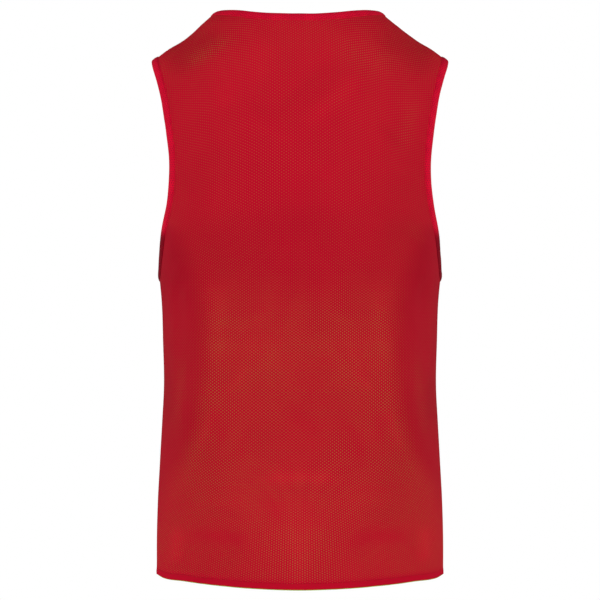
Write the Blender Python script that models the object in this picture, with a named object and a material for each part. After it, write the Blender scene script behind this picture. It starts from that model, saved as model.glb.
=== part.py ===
"""Reversible net training bib, filled out in the shape it has when worn.

Two layers of net cloth, red outside and lime inside, are each cut as a front and a back and
meet at the side and shoulder seams.  Three folded red bindings close the neck and the armholes
and hold the layers together.  +Z is up, the wearer faces -Y and +X is the wearer's left.  The
origin lies midway between the shoulders, at the height where the straps rest on them.

Each panel is laid out on a flat pattern, girth across and climb up, and then set onto the form.
"""
import bpy
import bmesh
import numpy as np
from mathutils import Vector
from mathutils.geometry import delaunay_2d_cdt

# ---- driving dimensions, in metres ---------------------------------------------------------
CLOTH = 0.0012                 # thickness of one layer of net, and of the binding tape
SEAM_GAP = 0.0003              # clearance between pieces that are sewn together
BINDING_WIDTH = 0.0100         # how far the binding reaches in from its folded edge
HEM_Z = -0.6575                # height of the hem at the side seams
HEM_DIP = 0.0022               # how much lower the hem hangs at the middle of the back
HEM_CORNER = 0.0018            # how much the hem rises right beside the side seams
UNDERARM_Z = -0.286            # height where the side seam meets the armhole
HEM_CORNER_FROM = 0.94         # share of the half width where that rise starts
LINER_DROP = 0.0012            # how much longer the lime layer hangs at the hem
CROWN_POWER = 2.4              # how squarely the form rounds over at the shoulders
HALF_SEAM = SEAM_GAP / 2.0
LAYER_STEP = CLOTH + SEAM_GAP  # from the outer face of one layer to that of the next
REACH = BINDING_WIDTH - LAYER_STEP   # how far the binding covers the cloth

# Horizontal sections of the worn form.  flatness: 2 is an even curve, more is a flatter middle.
# roundness: 2 is a round side, less is a sharper fold at the side seam.
BODY_COLUMNS = ("height", "half_width", "back_depth", "front_depth", "flatness", "roundness")
BODY_SECTIONS = (
    (-0.700, 0.1772, 0.108, 0.112, 2.1, 1.25),
    (-0.658, 0.1772, 0.107, 0.112, 2.1, 1.28),
    (-0.615, 0.1772, 0.105, 0.112, 2.2, 1.32),
    (-0.565, 0.1757, 0.102, 0.112, 2.6, 1.40),
    (-0.515, 0.1729, 0.100, 0.112, 3.0, 1.48),
    (-0.465, 0.1703, 0.099, 0.113, 3.4, 1.55),
    (-0.422, 0.1684, 0.100, 0.114, 3.6, 1.62),
    (-0.367, 0.1696, 0.106, 0.117, 3.4, 1.75),
    (-0.317, 0.1713, 0.113, 0.121, 3.0, 1.92),
    (-0.286, 0.1742, 0.118, 0.123, 2.8, 2.05),
    (-0.200, 0.1835, 0.123, 0.126, 2.6, 2.15),
    (-0.120, 0.1920, 0.123, 0.125, 2.5, 2.15),
    (-0.030, 0.1990, 0.122, 0.122, 2.4, 2.15),
    (0.060, 0.2050, 0.122, 0.122, 2.4, 2.15),
)
# The line of the shoulders seen from behind: height of the form above each distance from the
# middle.  Inside the neck opening it only steers the neckline.
RIDGE_COLUMNS = ("across", "height")
RIDGE = (
    (0.0000, 0.0660), (0.0350, 0.0640), (0.0550, 0.0595), (0.0700, 0.0525), (0.0850, 0.0448),
    (0.0960, 0.0398), (0.1053, 0.0350), (0.1111, 0.0303), (0.1175, 0.0250), (0.1234, 0.0203),
    (0.1292, 0.0153), (0.1360, 0.0104), (0.1431, 0.0054), (0.1636, -0.0070), (0.1811, -0.0207),
    (0.2050, -0.0360),
)
# Cut edges: a smooth closed curve is drawn through the points and set onto the form.  The neck
# runs from the middle of the back round by the wearer's left, and is the same on the right.
# The left armhole runs from the underarm up the back, over the shoulder and down the front.
EDGE_COLUMNS = ("across", "depth", "height")
NECK_EDGE = (
    (0.0000, 0.0632, 0.0266), (0.0331, 0.0615, 0.0274), (0.0586, 0.0535, 0.0308),
    (0.0701, 0.0458, 0.0334), (0.0803, 0.0372, 0.0353), (0.0889, 0.0285, 0.0364),
    (0.0965, 0.0180, 0.0366), (0.1018, 0.0000, 0.0366),
    (0.0990, -0.0180, 0.0350), (0.0985, -0.0450, 0.0130), (0.0890, -0.0720, -0.0180),
    (0.0650, -0.0915, -0.0450), (0.0330, -0.1005, -0.0585), (0.0000, -0.1030, -0.0625),
)
ARMHOLE_EDGE = (
    (0.1742, 0.0000, -0.2860), (0.1730, 0.0180, -0.2830), (0.1695, 0.0370, -0.2640),
    (0.1652, 0.0540, -0.2320), (0.1586, 0.0660, -0.2060), (0.1543, 0.0720, -0.1606),
    (0.1621, 0.0630, -0.0990), (0.1707, 0.0480, -0.0608), (0.1788, 0.0265, -0.0330),
    (0.1811, 0.0000, -0.0207),
    (0.1770, -0.0270, -0.0340), (0.1650, -0.0490, -0.0620), (0.1520, -0.0690, -0.1080),
    (0.1475, -0.0800, -0.1550), (0.1505, -0.0800, -0.1980), (0.1590, -0.0680, -0.2350),
    (0.1680, -0.0460, -0.2660), (0.1731, -0.0220, -0.2825),
)
# The largest soft folds.  Each runs through three points of its panel, given across and up.
# height is a ridge where positive and a trough where negative, half_width is to its foot.
FOLD_COLUMNS = ("panel", "start", "middle", "end", "half_width", "height")
FOLDS = (
    ("back", (-0.130, -0.222), (0.000, -0.236), (0.130, -0.222), 0.030, -0.0030),
    ("back", (0.132, -0.058), (0.072, -0.098), (0.012, -0.134), 0.028, 0.0026),
    ("back", (-0.084, -0.034), (-0.045, -0.076), (0.004, -0.116), 0.026, 0.0030),
    ("back", (-0.052, -0.010), (-0.010, -0.055), (0.042, -0.098), 0.024, -0.0024),
    ("back", (0.134, -0.262), (0.111, -0.365), (0.142, -0.520), 0.030, 0.0036),
    ("back", (-0.134, -0.262), (-0.111, -0.365), (-0.142, -0.520), 0.030, 0.0036),
    ("back", (-0.062, -0.527), (0.000, -0.530), (0.062, -0.527), 0.026, 0.0024),
    ("back", (0.000, -0.590), (0.000, -0.630), (0.000, -0.680), 0.034, 0.0026),
    ("front", (0.128, -0.075), (0.085, -0.125), (0.025, -0.165), 0.030, 0.0028),
    ("front", (-0.124, -0.068), (-0.080, -0.130), (-0.018, -0.182), 0.030, 0.0028),
    ("front", (0.135, -0.300), (0.110, -0.400), (0.136, -0.530), 0.032, 0.0034),
    ("front", (-0.135, -0.310), (-0.108, -0.390), (-0.132, -0.520), 0.032, 0.0034),
    ("front", (-0.070, -0.470), (0.005, -0.482), (0.080, -0.468), 0.030, -0.0026),
)
FOLD_FADE = 0.034              # folds die out this near to the side and shoulder seams
FOLD_END = 1.0 / 3.0           # share of its length over which each end of a fold dies out
FOLD_POINTS = 41               # points of a fold's line

# ---- how finely the cloth is divided -------------------------------------------------------
GIRTH_COLUMNS = 12             # columns from the middle of a panel to its side
HEM_ROWS = 15                  # rows from the hem to the underarm
CHEST_ROWS = 17                # rows from the underarm to the shoulder
SIDE_CROWDING = 0.60           # how much closer the columns stand at the sides
ARMHOLE_STATIONS = 19          # points along each half of an armhole
NECK_STATIONS = 11             # points along a quarter of the neck
SHOULDER_STATIONS = 5          # points along the shoulder seam between the bindings
SEAM_CROWDING = 0.25           # how much closer those points stand near the seams
CLEARANCE = 0.0070             # least distance from a binding to a point inside the panel
CURVE_SAMPLES = 240            # points of a curve before it is divided
SETTLING_STEPS = 24            # steps in which a point near the form is moved onto it
LONGEST_STEP = 0.0060          # greatest length of such a step
NECK_MIDDLE = np.array([0.0, 0.0, 0.040])      # a point in the neck opening
ARM_MIDDLE = np.array([0.210, 0.0, -0.150])    # a point in the left armhole, outside the cloth
MIRROR = np.array([-1.0, 1.0, 1.0])            # from the wearer's left to the right

MATERIALS = {
    "net_outer": ((0.430, 0.012, 0.022, 1.0), 0.78),
    "net_inner": ((0.300, 0.620, 0.040, 1.0), 0.78),
    "binding_tape": ((0.560, 0.004, 0.026, 1.0), 0.70),
}


# ---- smooth tables and curves --------------------------------------------------------------
def table_columns(rows, names):
    """A table as one array for each named column."""
    return {name: np.array([row[k] for row in rows], float) for k, name in enumerate(names)}


BODY = table_columns(BODY_SECTIONS, BODY_COLUMNS)
SHOULDER = table_columns(RIDGE, RIDGE_COLUMNS)


def smooth_between(knots, values, at, slopes=None):
    """Cubic through the values, with each slope taken from the neighbouring knots."""
    slopes = np.gradient(values, knots) if slopes is None else slopes
    at = np.clip(at, knots[0], knots[-1])
    low = np.clip(np.searchsorted(knots, at, side="right") - 1, 0, len(knots) - 2)
    span = knots[low + 1] - knots[low]
    t = (at - knots[low]) / span
    return ((1 + 2 * t) * (1 - t) ** 2 * values[low] + t * (1 - t) ** 2 * span * slopes[low]
            + t * t * (3 - 2 * t) * values[low + 1] + t * t * (t - 1) * span * slopes[low + 1])


def body_size(name, height):
    """A size of the form's horizontal section at a height."""
    return smooth_between(BODY["height"], BODY[name], height)


def ridge_height(across):
    """Height of the shoulder line at a distance from the middle."""
    return smooth_between(SHOULDER["across"], SHOULDER["height"], np.abs(across))


def depth_at(height, facing):
    """Depth of the form behind or before the side seams."""
    return np.where(facing > 0, body_size("back_depth", height),
                    body_size("front_depth", height))


def distances_along(points):
    """Distance along a polyline at each of its points."""
    steps = np.linalg.norm(np.diff(points, axis=0), axis=1)
    return np.concatenate([[0.0], np.cumsum(steps)])


def spread_along(points, fractions):
    """Points at given fractions of a dense polyline's length."""
    along = distances_along(points)
    wanted = np.asarray(fractions) * along[-1]
    return np.stack([np.interp(wanted, along, column) for column in points.T], axis=1)


def soft_step(value):
    """0 to 1, with level ends."""
    value = np.clip(value, 0.0, 1.0)
    return value * value * (3 - 2 * value)


# ---- the worn form -------------------------------------------------------------------------
def form_value(points):
    """Zero on the form: flattened ovals that close over the shoulder line."""
    x, y, z = points[..., 0], points[..., 1], points[..., 2]
    across = np.abs(x) / body_size("half_width", z)
    rise = np.clip((z - UNDERARM_Z) / (ridge_height(x) - UNDERARM_Z), 0.0, None)
    section = 1.0 - across ** body_size("flatness", z)
    crown = 1.0 - rise ** CROWN_POWER
    return (np.abs(y) / depth_at(z, y)) ** body_size("roundness", z) - section * crown


def form_slope(points):
    """Gradient of the form's value, by central differences."""
    step = 1e-6
    slope = np.zeros_like(points)
    for axis in range(3):
        move = np.zeros(3)
        move[axis] = step
        slope[..., axis] = (form_value(points + move) - form_value(points - move)) / (2 * step)
    return slope


def onto_form(points):
    """Points moved along the slope onto the form."""
    points = np.array(points, float)
    for _ in range(SETTLING_STEPS):
        slope = form_slope(points)
        size = np.maximum((slope ** 2).sum(-1, keepdims=True), 1e-9)
        move = -form_value(points)[..., None] * slope / size
        length = np.maximum(np.linalg.norm(move, axis=-1, keepdims=True), 1e-12)
        points = points + move * np.minimum(1.0, LONGEST_STEP / length)
    return points


def form_normal(points):
    """Outward direction of the form; square to a seam's plane on the seam itself."""
    slope = form_slope(points)
    on_seam = np.abs(points[..., 1]) <= 2 * HALF_SEAM
    slope[..., 1] = np.where(on_seam, 0.0, slope[..., 1])
    return slope / np.linalg.norm(slope, axis=-1, keepdims=True)


def form_point(turn, crown, height, facing):
    """A point of the form: turned round from the middle, and at a height or up the crown."""
    rise = np.sin(crown) ** (2 / CROWN_POWER)
    x = np.full_like(rise, 0.1) * np.ones_like(turn)
    for _ in range(12):
        z = np.where(crown > 0, UNDERARM_Z + rise * (ridge_height(x) - UNDERARM_Z), height)
        x = body_size("half_width", z) * np.sin(turn) ** (2 / body_size("flatness", z))
    y = depth_at(z, facing) * (np.cos(turn) * np.cos(crown)) ** (2 / body_size("roundness", z))
    return np.stack([x, facing * y, z], axis=-1)


# ---- the flat pattern ----------------------------------------------------------------------
CLIMB_TURN = np.pi / 5         # where round the form the climb is measured
TURNS = np.linspace(0.0, np.pi / 2, CURVE_SAMPLES)
FLAT = np.zeros(CURVE_SAMPLES)
GIRTH = distances_along(form_point(TURNS, FLAT, FLAT + UNDERARM_Z, 1))
CLIMB = distances_along(form_point(FLAT + CLIMB_TURN, TURNS, FLAT + UNDERARM_Z, 1))


def from_pattern(pattern, facing):
    """Pattern points, girth and climb, set onto the form."""
    turn = np.interp(pattern[:, 0], GIRTH, TURNS)
    crown = np.interp(pattern[:, 1], CLIMB, TURNS)
    return form_point(turn, crown, UNDERARM_Z + np.minimum(pattern[:, 1], 0.0), facing)


def to_pattern(points, facing):
    """Girth and climb of points that lie on the form."""
    x, y, z = np.abs(points[:, 0]), np.abs(points[:, 1]), points[:, 2]
    rise = np.clip((z - UNDERARM_Z) / (ridge_height(x) - UNDERARM_Z), 0.0, 1.0)
    crown = np.arcsin(np.clip(rise ** (CROWN_POWER / 2), 0.0, 1.0))
    side = (x / body_size("half_width", z)) ** (body_size("flatness", z) / 2)
    deep = (y / depth_at(z, facing)) ** (body_size("roundness", z) / 2)
    turn = np.arctan2(side, deep / np.maximum(np.cos(crown), 1e-4))
    on_ridge = crown > np.pi / 2 - 1e-3
    turn = np.where(on_ridge, np.arcsin(np.clip(side, 0.0, 1.0)), turn)
    climb = np.where(z < UNDERARM_Z, z - UNDERARM_Z, np.interp(crown, TURNS, CLIMB))
    return np.stack([np.interp(turn, TURNS, GIRTH), climb], axis=1)


# ---- cut edges -----------------------------------------------------------------------------
def closed_run(rows, first, last, count):
    """Stations on the form between two rows of a closed, smooth edge."""
    lap = np.concatenate([rows, rows, rows])
    knots = distances_along(lap)
    low, high = len(rows) + first, len(rows) + last
    at = np.linspace(knots[low], knots[high], CURVE_SAMPLES)
    curve = np.stack([smooth_between(knots, column, at) for column in lap.T], axis=1)
    even = np.linspace(0.0, 1.0, count + 1)
    eased = (1.0 - np.cos(np.pi * even)) / 2.0
    return spread_along(onto_form(curve), even + SEAM_CROWDING * (eased - even))


def armhole_loop():
    """Stations round the left armhole: up the back from the underarm, then down the front."""
    rows = np.array(ARMHOLE_EDGE)
    tip = int(np.argmin(np.abs(rows[1:, 1]))) + 1
    back = closed_run(rows, 0, tip, ARMHOLE_STATIONS)
    front = closed_run(rows, tip, len(rows), ARMHOLE_STATIONS)
    loop = np.concatenate([back[:-1], front[:-1]])
    loop[::ARMHOLE_STATIONS, 1] = 0.0
    return loop


def neck_loop():
    """Stations round the neck from the middle of the back, by the wearer's left."""
    left = np.array(NECK_EDGE)
    rows = np.concatenate([left, left[-2:0:-1] * MIRROR])
    corner = int(np.argmin(np.abs(left[:, 1])))
    back = closed_run(rows, 0, corner, NECK_STATIONS)
    front = closed_run(rows, corner, len(left) - 1, NECK_STATIONS)
    half = np.concatenate([back[:-1], front])
    half[NECK_STATIONS, 1] = 0.0
    half[[0, -1], 0] = 0.0
    return np.concatenate([half, half[-2:0:-1] * MIRROR])


def edge_frame(loop, opening):
    """Normals, directions into the cloth, and points where the binding ends, along an edge."""
    tangent = np.roll(loop, -1, axis=0) - np.roll(loop, 1, axis=0)
    normal = form_normal(loop)
    into = np.cross(normal, tangent)
    into /= np.linalg.norm(into, axis=1, keepdims=True)
    into *= np.sign(np.einsum("ij,ij->i", into, loop - np.array(opening)))[:, None]
    held = np.abs(loop) < (1e-9, 1e-9, 0.0)
    reached = onto_form(np.where(held, 0.0, loop + REACH * into))
    return normal, into, np.where(held, 0.0, reached)


# ---- panels --------------------------------------------------------------------------------
def crowded(count, crowding):
    """Fractions from 0 to 1 whose spacing closes up towards 1."""
    steps = 1.0 - crowding * ((np.arange(count) + 0.5) / count) ** 2
    return np.concatenate([[0.0], np.cumsum(steps)]) / steps.sum()


def inside(points, outline):
    """Which points lie inside a closed outline."""
    x, y = points[:, 0, None], points[:, 1, None]
    x0, y0 = outline[:, 0], outline[:, 1]
    x1, y1 = np.roll(x0, -1), np.roll(y0, -1)
    crosses = (y0 > y) != (y1 > y)
    with np.errstate(divide="ignore", invalid="ignore"):
        at = x0 + (y - y0) * (x1 - x0) / (y1 - y0)
    return (crosses & (x < at)).sum(axis=1) % 2 == 1


def half_pattern(facing):
    """Pattern points and triangles of the wearer's left half of a panel."""
    girth = crowded(GIRTH_COLUMNS, SIDE_CROWDING) * GIRTH[-1]
    body_rows = np.linspace(HEM_Z - UNDERARM_Z, 0.0, HEM_ROWS + 1)
    chest_rows = np.linspace(0.0, CLIMB[-1], CHEST_ROWS + 1)[1:]
    rows = np.concatenate([body_rows, chest_rows])

    armhole = armhole_loop()
    neck = neck_loop()
    arm_reach = edge_frame(armhole, ARM_MIDDLE)[2]
    neck_reach = edge_frame(neck, NECK_MIDDLE)[2]
    if facing > 0:
        arm_pick = np.arange(ARMHOLE_STATIONS + 1)
        neck_pick = np.arange(NECK_STATIONS, -1, -1)
    else:
        arm_pick = np.arange(2 * ARMHOLE_STATIONS, ARMHOLE_STATIONS - 1, -1) % len(armhole)
        neck_pick = np.arange(NECK_STATIONS, 2 * NECK_STATIONS + 1)
    arm_cut, arm_line = (to_pattern(run[arm_pick], facing) for run in (armhole, arm_reach))
    neck_cut, neck_line = (to_pattern(run[neck_pick], facing) for run in (neck, neck_reach))

    side = [(GIRTH[-1], row) for row in body_rows if row < arm_line[0, 1] - CLEARANCE]
    hem = [(column, body_rows[0]) for column in girth[:-1]]
    seam = np.linspace(arm_line[-1], neck_line[0], SHOULDER_STATIONS + 1)[1:-1]
    middle = [(0.0, row) for row in rows[::-1]
              if body_rows[0] < row < neck_line[-1, 1] - CLEARANCE]
    outline = np.concatenate([hem, side, arm_line, seam, neck_line, middle])
    lattice = np.array([(column, row) for row in rows for column in girth])
    apart = np.linalg.norm(lattice[:, None] - outline, axis=2).min(axis=1)
    lattice = lattice[inside(lattice, outline) & (apart > CLEARANCE)]
    filled = np.concatenate([outline, lattice])
    around = range(len(outline))
    _, _, faces, origins, *_ = delaunay_2d_cdt(
        [Vector(point) for point in filled],
        [(k, (k + 1) % len(outline)) for k in around], [], 0, 1e-9, True)
    faces = np.array([[origins[corner][0] for corner in face] for face in faces])
    faces = faces[inside(filled[faces].mean(axis=1), outline)]

    arm_start, neck_start = len(hem) + len(side), len(hem) + len(side) + len(arm_line) + len(seam)
    arm_under = strip(len(filled), arm_start, len(arm_cut), facing < 0)
    neck_under = strip(len(filled) + len(arm_cut), neck_start, len(neck_cut), facing > 0)
    return (np.concatenate([filled, arm_cut, neck_cut]),
            np.concatenate([faces, arm_under, neck_under]))


def strip(cut, line, count, backward):
    """Triangles under a binding, from a cut edge's points to the line where the binding ends.

    Each square is split from the cut point that comes first round the opening, like the binding.
    """
    faces = []
    for i in range(count - 1):
        first, last = (i + 1, i) if backward else (i, i + 1)
        faces += [(cut + first, cut + last, line + last), (cut + first, line + last, line + first)]
    return np.array(faces)


def fold_route(start, middle, end):
    """Points of a fold's line, a curve that passes through its middle."""
    t = np.linspace(0.0, 1.0, FOLD_POINTS)[:, None]
    start, middle, end = np.array(start), np.array(middle), np.array(end)
    handle = 2 * middle - (start + end) / 2
    return (1 - t) ** 2 * start + 2 * t * (1 - t) * handle + t * t * end


def fold_height(points):
    """How far the soft folds lift or sink the cloth at each point."""
    lift = np.zeros(len(points))
    for panel, start, middle, end, half_width, height in FOLDS:
        route = fold_route(start, middle, end)
        apart = np.linalg.norm(points[:, None, [0, 2]] - route, axis=2)
        share = apart.argmin(axis=1) / (FOLD_POINTS - 1)
        taper = soft_step(share / FOLD_END) * soft_step((1.0 - share) / FOLD_END)
        bump = soft_step(1.0 - apart.min(axis=1) / half_width)
        side = points[:, 1] > 0 if panel == "back" else points[:, 1] < 0
        lift += side * height * bump * taper
    return lift * soft_step(np.abs(points[:, 1]) / FOLD_FADE)


def hang(points, facing, drop):
    """Points near the hem let down by an even drop and to the hem's own line."""
    share = np.clip((UNDERARM_Z - points[:, 2]) / (UNDERARM_Z - HEM_Z), 0.0, 1.0) ** 3
    across = np.abs(points[:, 0]) / body_size("half_width", HEM_Z)
    dip = HEM_DIP * soft_step(1.0 - across) if facing > 0 else 0.0
    corner = HEM_CORNER * share ** 4 * soft_step((across - HEM_CORNER_FROM) / (1 - HEM_CORNER_FROM))
    return points - (share * (dip + drop) - corner)[:, None] * (0.0, 0.0, 1.0)


def add_panel(name, facing, depth_in, drop, material):
    """One cut panel: a wall of cloth a given depth under the garment's outer face."""
    pattern, faces = half_pattern(facing)
    left = from_pattern(pattern, facing)
    middle = pattern[:, 0] < 1e-9
    left[middle, 0] = 0.0
    twin = np.arange(len(left))
    twin[~middle] = len(left) + np.arange((~middle).sum())
    form = np.concatenate([left, left[~middle] * MIRROR])
    faces = np.concatenate([faces, twin[faces][:, ::-1]])
    skins = []
    for depth in (depth_in, depth_in + CLOTH):
        skin = form + form_normal(form) * (fold_height(form) - depth)[:, None]
        skin = hang(skin, facing, drop)
        skin[:, 1] = facing * np.maximum(facing * skin[:, 1], HALF_SEAM)
        skins.append(skin)
    return closed_wall(name, skins, faces, material)


def closed_wall(name, skins, faces, material):
    """A wall between two skins of matching points, closed round its rim."""
    mesh = bmesh.new()
    corners = [[mesh.verts.new(point) for point in skin] for skin in skins]
    for face in faces:
        mesh.faces.new([corners[0][k] for k in face])
    mesh.verts.index_update()
    rim = [[corner.index for corner in edge.verts] for edge in mesh.edges if edge.is_boundary]
    for face in faces:
        mesh.faces.new([corners[1][k] for k in face[::-1]])
    for a, b in rim:
        mesh.faces.new((corners[0][a], corners[0][b], corners[1][b], corners[1][a]))
    return add_object(name, mesh, material)


# ---- bindings ------------------------------------------------------------------------------
FOLD_CORNERS = (2, 3, 6, 7)     # corners of a binding's section at the fold, not at its ends


def binding_sections(loop, opening):
    """U-shaped sections that wrap the cloth's edge all round an opening."""
    normal, into, reached = edge_frame(loop, opening)
    reach_normal = form_normal(reached)
    lift = fold_height(loop)[:, None]
    reach_lift = fold_height(reached)[:, None]
    low, high = SEAM_GAP, SEAM_GAP + CLOTH
    under = -(CLOTH + LAYER_STEP + SEAM_GAP)
    deep = under - CLOTH

    def leg(height):
        return reached + reach_normal * (reach_lift + height)

    def fold(beyond, height):
        return loop - into * beyond + normal * (lift + height)

    return np.stack([leg(low), leg(high), fold(LAYER_STEP, high), fold(LAYER_STEP, deep),
                     leg(deep), leg(under), fold(SEAM_GAP, under), fold(SEAM_GAP, low)], axis=1)


def add_binding(name, sections, material, turns_back_at=None):
    """A closed ring of folded tape, its squares split like those of the cloth under it.

    A ring that is its own mirror image splits the other way from turns_back_at on.
    """
    count, sides = sections.shape[:2]
    mesh = bmesh.new()
    rings = [[mesh.verts.new(point) for point in section] for section in sections]
    for i in range(count):
        here, there = rings[i], rings[(i + 1) % count]
        if turns_back_at is not None and i >= turns_back_at:
            here, there = there, here
        for k in range(sides):
            n = (k + 1) % sides
            first, second = (k, n) if k in FOLD_CORNERS else (n, k)
            mesh.faces.new((here[first], here[second], there[second]))
            mesh.faces.new((here[first], there[second], there[first]))
    return add_object(name, mesh, material)


# ---- objects -------------------------------------------------------------------------------
def make_material(name):
    """A plain finish of the piece's colour and roughness."""
    colour, roughness = MATERIALS[name]
    material = bpy.data.materials.new(name)
    material.use_nodes = True
    shader = material.node_tree.nodes["Principled BSDF"]
    shader.inputs["Base Color"].default_value = colour
    shader.inputs["Roughness"].default_value = roughness
    shader.inputs["Metallic"].default_value = 0.0
    return material


def add_object(name, mesh, material):
    """Turn a finished bmesh into a named, smooth-shaded object."""
    bmesh.ops.recalc_face_normals(mesh, faces=mesh.faces)
    data = bpy.data.meshes.new(name)
    mesh.to_mesh(data)
    mesh.free()
    data.materials.append(material)
    data.shade_smooth()
    data.set_sharp_from_angle(angle=np.radians(50))
    obj = bpy.data.objects.new(name, data)
    bpy.data.collections["training_bib"].objects.link(obj)
    return obj


def build():
    """Clear the scene and make the seven pieces."""
    for old in list(bpy.data.objects):
        bpy.data.objects.remove(old, do_unlink=True)
    bpy.context.scene.collection.children.link(bpy.data.collections.new("training_bib"))
    outer = make_material("net_outer")
    liner = make_material("net_inner")
    tape = make_material("binding_tape")
    for word, facing in (("back", 1), ("front", -1)):
        add_panel(word + "_outer", facing, 0.0, 0.0, outer)
        add_panel(word + "_inner", facing, LAYER_STEP, LINER_DROP, liner)
    neck = neck_loop()
    add_binding("neck_binding", binding_sections(neck, NECK_MIDDLE), tape, len(neck) // 2)
    left = armhole_loop()
    add_binding("armhole_binding_left", binding_sections(left, ARM_MIDDLE), tape)
    add_binding("armhole_binding_right",
                binding_sections(left * MIRROR, ARM_MIDDLE * MIRROR), tape)


build()
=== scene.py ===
"""Looks of the reversible net training bib: cloth with its folds, bindings, sewing and studio.

The form, the flat pattern and the cut edges are those of the CAD part, divided more finely.
Lengths are in metres, +Z is up and the wearer faces -Y.
"""

import bpy
import numpy as np
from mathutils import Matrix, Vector
from mathutils.geometry import delaunay_2d_cdt


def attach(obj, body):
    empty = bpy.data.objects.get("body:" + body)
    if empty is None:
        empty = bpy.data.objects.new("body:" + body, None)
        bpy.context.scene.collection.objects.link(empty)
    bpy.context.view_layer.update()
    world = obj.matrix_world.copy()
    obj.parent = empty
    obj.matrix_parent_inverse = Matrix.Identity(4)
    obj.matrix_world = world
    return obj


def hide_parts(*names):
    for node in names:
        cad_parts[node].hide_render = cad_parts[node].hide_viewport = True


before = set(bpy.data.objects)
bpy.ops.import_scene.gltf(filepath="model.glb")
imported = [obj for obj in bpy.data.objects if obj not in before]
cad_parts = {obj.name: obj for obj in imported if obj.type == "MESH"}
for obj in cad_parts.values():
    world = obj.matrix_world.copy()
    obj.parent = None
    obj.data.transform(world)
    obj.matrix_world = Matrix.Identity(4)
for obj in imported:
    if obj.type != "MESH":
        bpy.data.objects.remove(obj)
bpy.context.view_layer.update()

BACK, FRONT = 1, -1            # which way along Y a panel faces
MIRROR = np.array([-1.0, 1.0, 1.0])
TINY = 1e-9                    # a length or size that counts as none

# ---- the cut, as in the CAD part -----------------------------------------------------------
CLOTH = 0.0012                 # wall of the CAD part's cloth
SEAM_GAP = 0.0003              # clearance between pieces that are sewn together
BINDING_WIDTH = 0.0100
HEM_Z = -0.6575                # height of the hem at the side seams
UNDERARM_Z = -0.286
CROWN_POWER = 2.4
HALF_SEAM = SEAM_GAP / 2.0
LAYER_STEP = CLOTH + SEAM_GAP
REACH = BINDING_WIDTH - LAYER_STEP

BODY_COLUMNS = ("height", "half_width", "back_depth", "front_depth", "flatness", "roundness")
BODY_SECTIONS = (
    (-0.700, 0.1772, 0.108, 0.112, 2.1, 1.25),
    (-0.658, 0.1772, 0.107, 0.112, 2.1, 1.28),
    (-0.615, 0.1772, 0.105, 0.112, 2.2, 1.32),
    (-0.565, 0.1757, 0.102, 0.112, 2.6, 1.40),
    (-0.515, 0.1729, 0.100, 0.112, 3.0, 1.48),
    (-0.465, 0.1703, 0.099, 0.113, 3.4, 1.55),
    (-0.422, 0.1684, 0.100, 0.114, 3.6, 1.62),
    (-0.367, 0.1696, 0.106, 0.117, 3.4, 1.75),
    (-0.317, 0.1713, 0.113, 0.121, 3.0, 1.92),
    (-0.286, 0.1742, 0.118, 0.123, 2.8, 2.05),
    (-0.200, 0.1835, 0.123, 0.126, 2.6, 2.15),
    (-0.120, 0.1920, 0.123, 0.125, 2.5, 2.15),
    (-0.030, 0.1990, 0.122, 0.122, 2.4, 2.15),
    (0.060, 0.2050, 0.122, 0.122, 2.4, 2.15),
)
RIDGE_COLUMNS = ("across", "height")
RIDGE = (
    (0.0000, 0.0660), (0.0350, 0.0640), (0.0550, 0.0595), (0.0700, 0.0525), (0.0850, 0.0448),
    (0.0960, 0.0398), (0.1053, 0.0350), (0.1111, 0.0303), (0.1175, 0.0250), (0.1234, 0.0203),
    (0.1292, 0.0153), (0.1360, 0.0104), (0.1431, 0.0054), (0.1636, -0.0070), (0.1811, -0.0207),
    (0.2050, -0.0360),
)
NECK_EDGE = (
    (0.0000, 0.0632, 0.0266), (0.0331, 0.0615, 0.0274), (0.0586, 0.0535, 0.0308),
    (0.0701, 0.0458, 0.0334), (0.0803, 0.0372, 0.0353), (0.0889, 0.0285, 0.0364),
    (0.0965, 0.0180, 0.0366), (0.1018, 0.0000, 0.0366),
    (0.0990, -0.0180, 0.0350), (0.0985, -0.0450, 0.0130), (0.0890, -0.0720, -0.0180),
    (0.0650, -0.0915, -0.0450), (0.0330, -0.1005, -0.0585), (0.0000, -0.1030, -0.0625),
)
ARMHOLE_EDGE = (
    (0.1742, 0.0000, -0.2860), (0.1730, 0.0180, -0.2830), (0.1695, 0.0370, -0.2640),
    (0.1652, 0.0540, -0.2320), (0.1586, 0.0660, -0.2060), (0.1543, 0.0720, -0.1606),
    (0.1621, 0.0630, -0.0990), (0.1707, 0.0480, -0.0608), (0.1788, 0.0265, -0.0330),
    (0.1811, 0.0000, -0.0207),
    (0.1770, -0.0270, -0.0340), (0.1650, -0.0490, -0.0620), (0.1520, -0.0690, -0.1080),
    (0.1475, -0.0800, -0.1550), (0.1505, -0.0800, -0.1980), (0.1590, -0.0680, -0.2350),
    (0.1680, -0.0460, -0.2660), (0.1731, -0.0220, -0.2825),
)

# ---- the hem's line, which differs a little from the CAD part's ----------------------------
HEM_DIP = 0.0028               # how much lower the hem hangs at the middle of the back
HEM_CORNER = 0.0016            # how much the hem rises right beside the side seams
HEM_CORNER_FROM = 0.94         # where that begins, as a share of the half width
HEM_SAG = 0.0011               # how much it sags just before that corner
HEM_SAG_AT, HEM_SAG_WIDTH = 0.91, 0.13
LINER_DROP = 0.0009            # how much longer the lime layer hangs at the hem
HANG_POWER = 3                 # how soon all this fades out above the hem
CORNER_POWER = 4               # how much sooner the corner and the sag do


def pair(start, middle, end, half_width, amount):
    """A stroke on the wearer's left, and its mirror image on the right."""
    left = (start, middle, end)
    right = tuple((-across, up) for across, up in left)
    return (*left, half_width, amount), (*right, half_width, amount)


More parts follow.
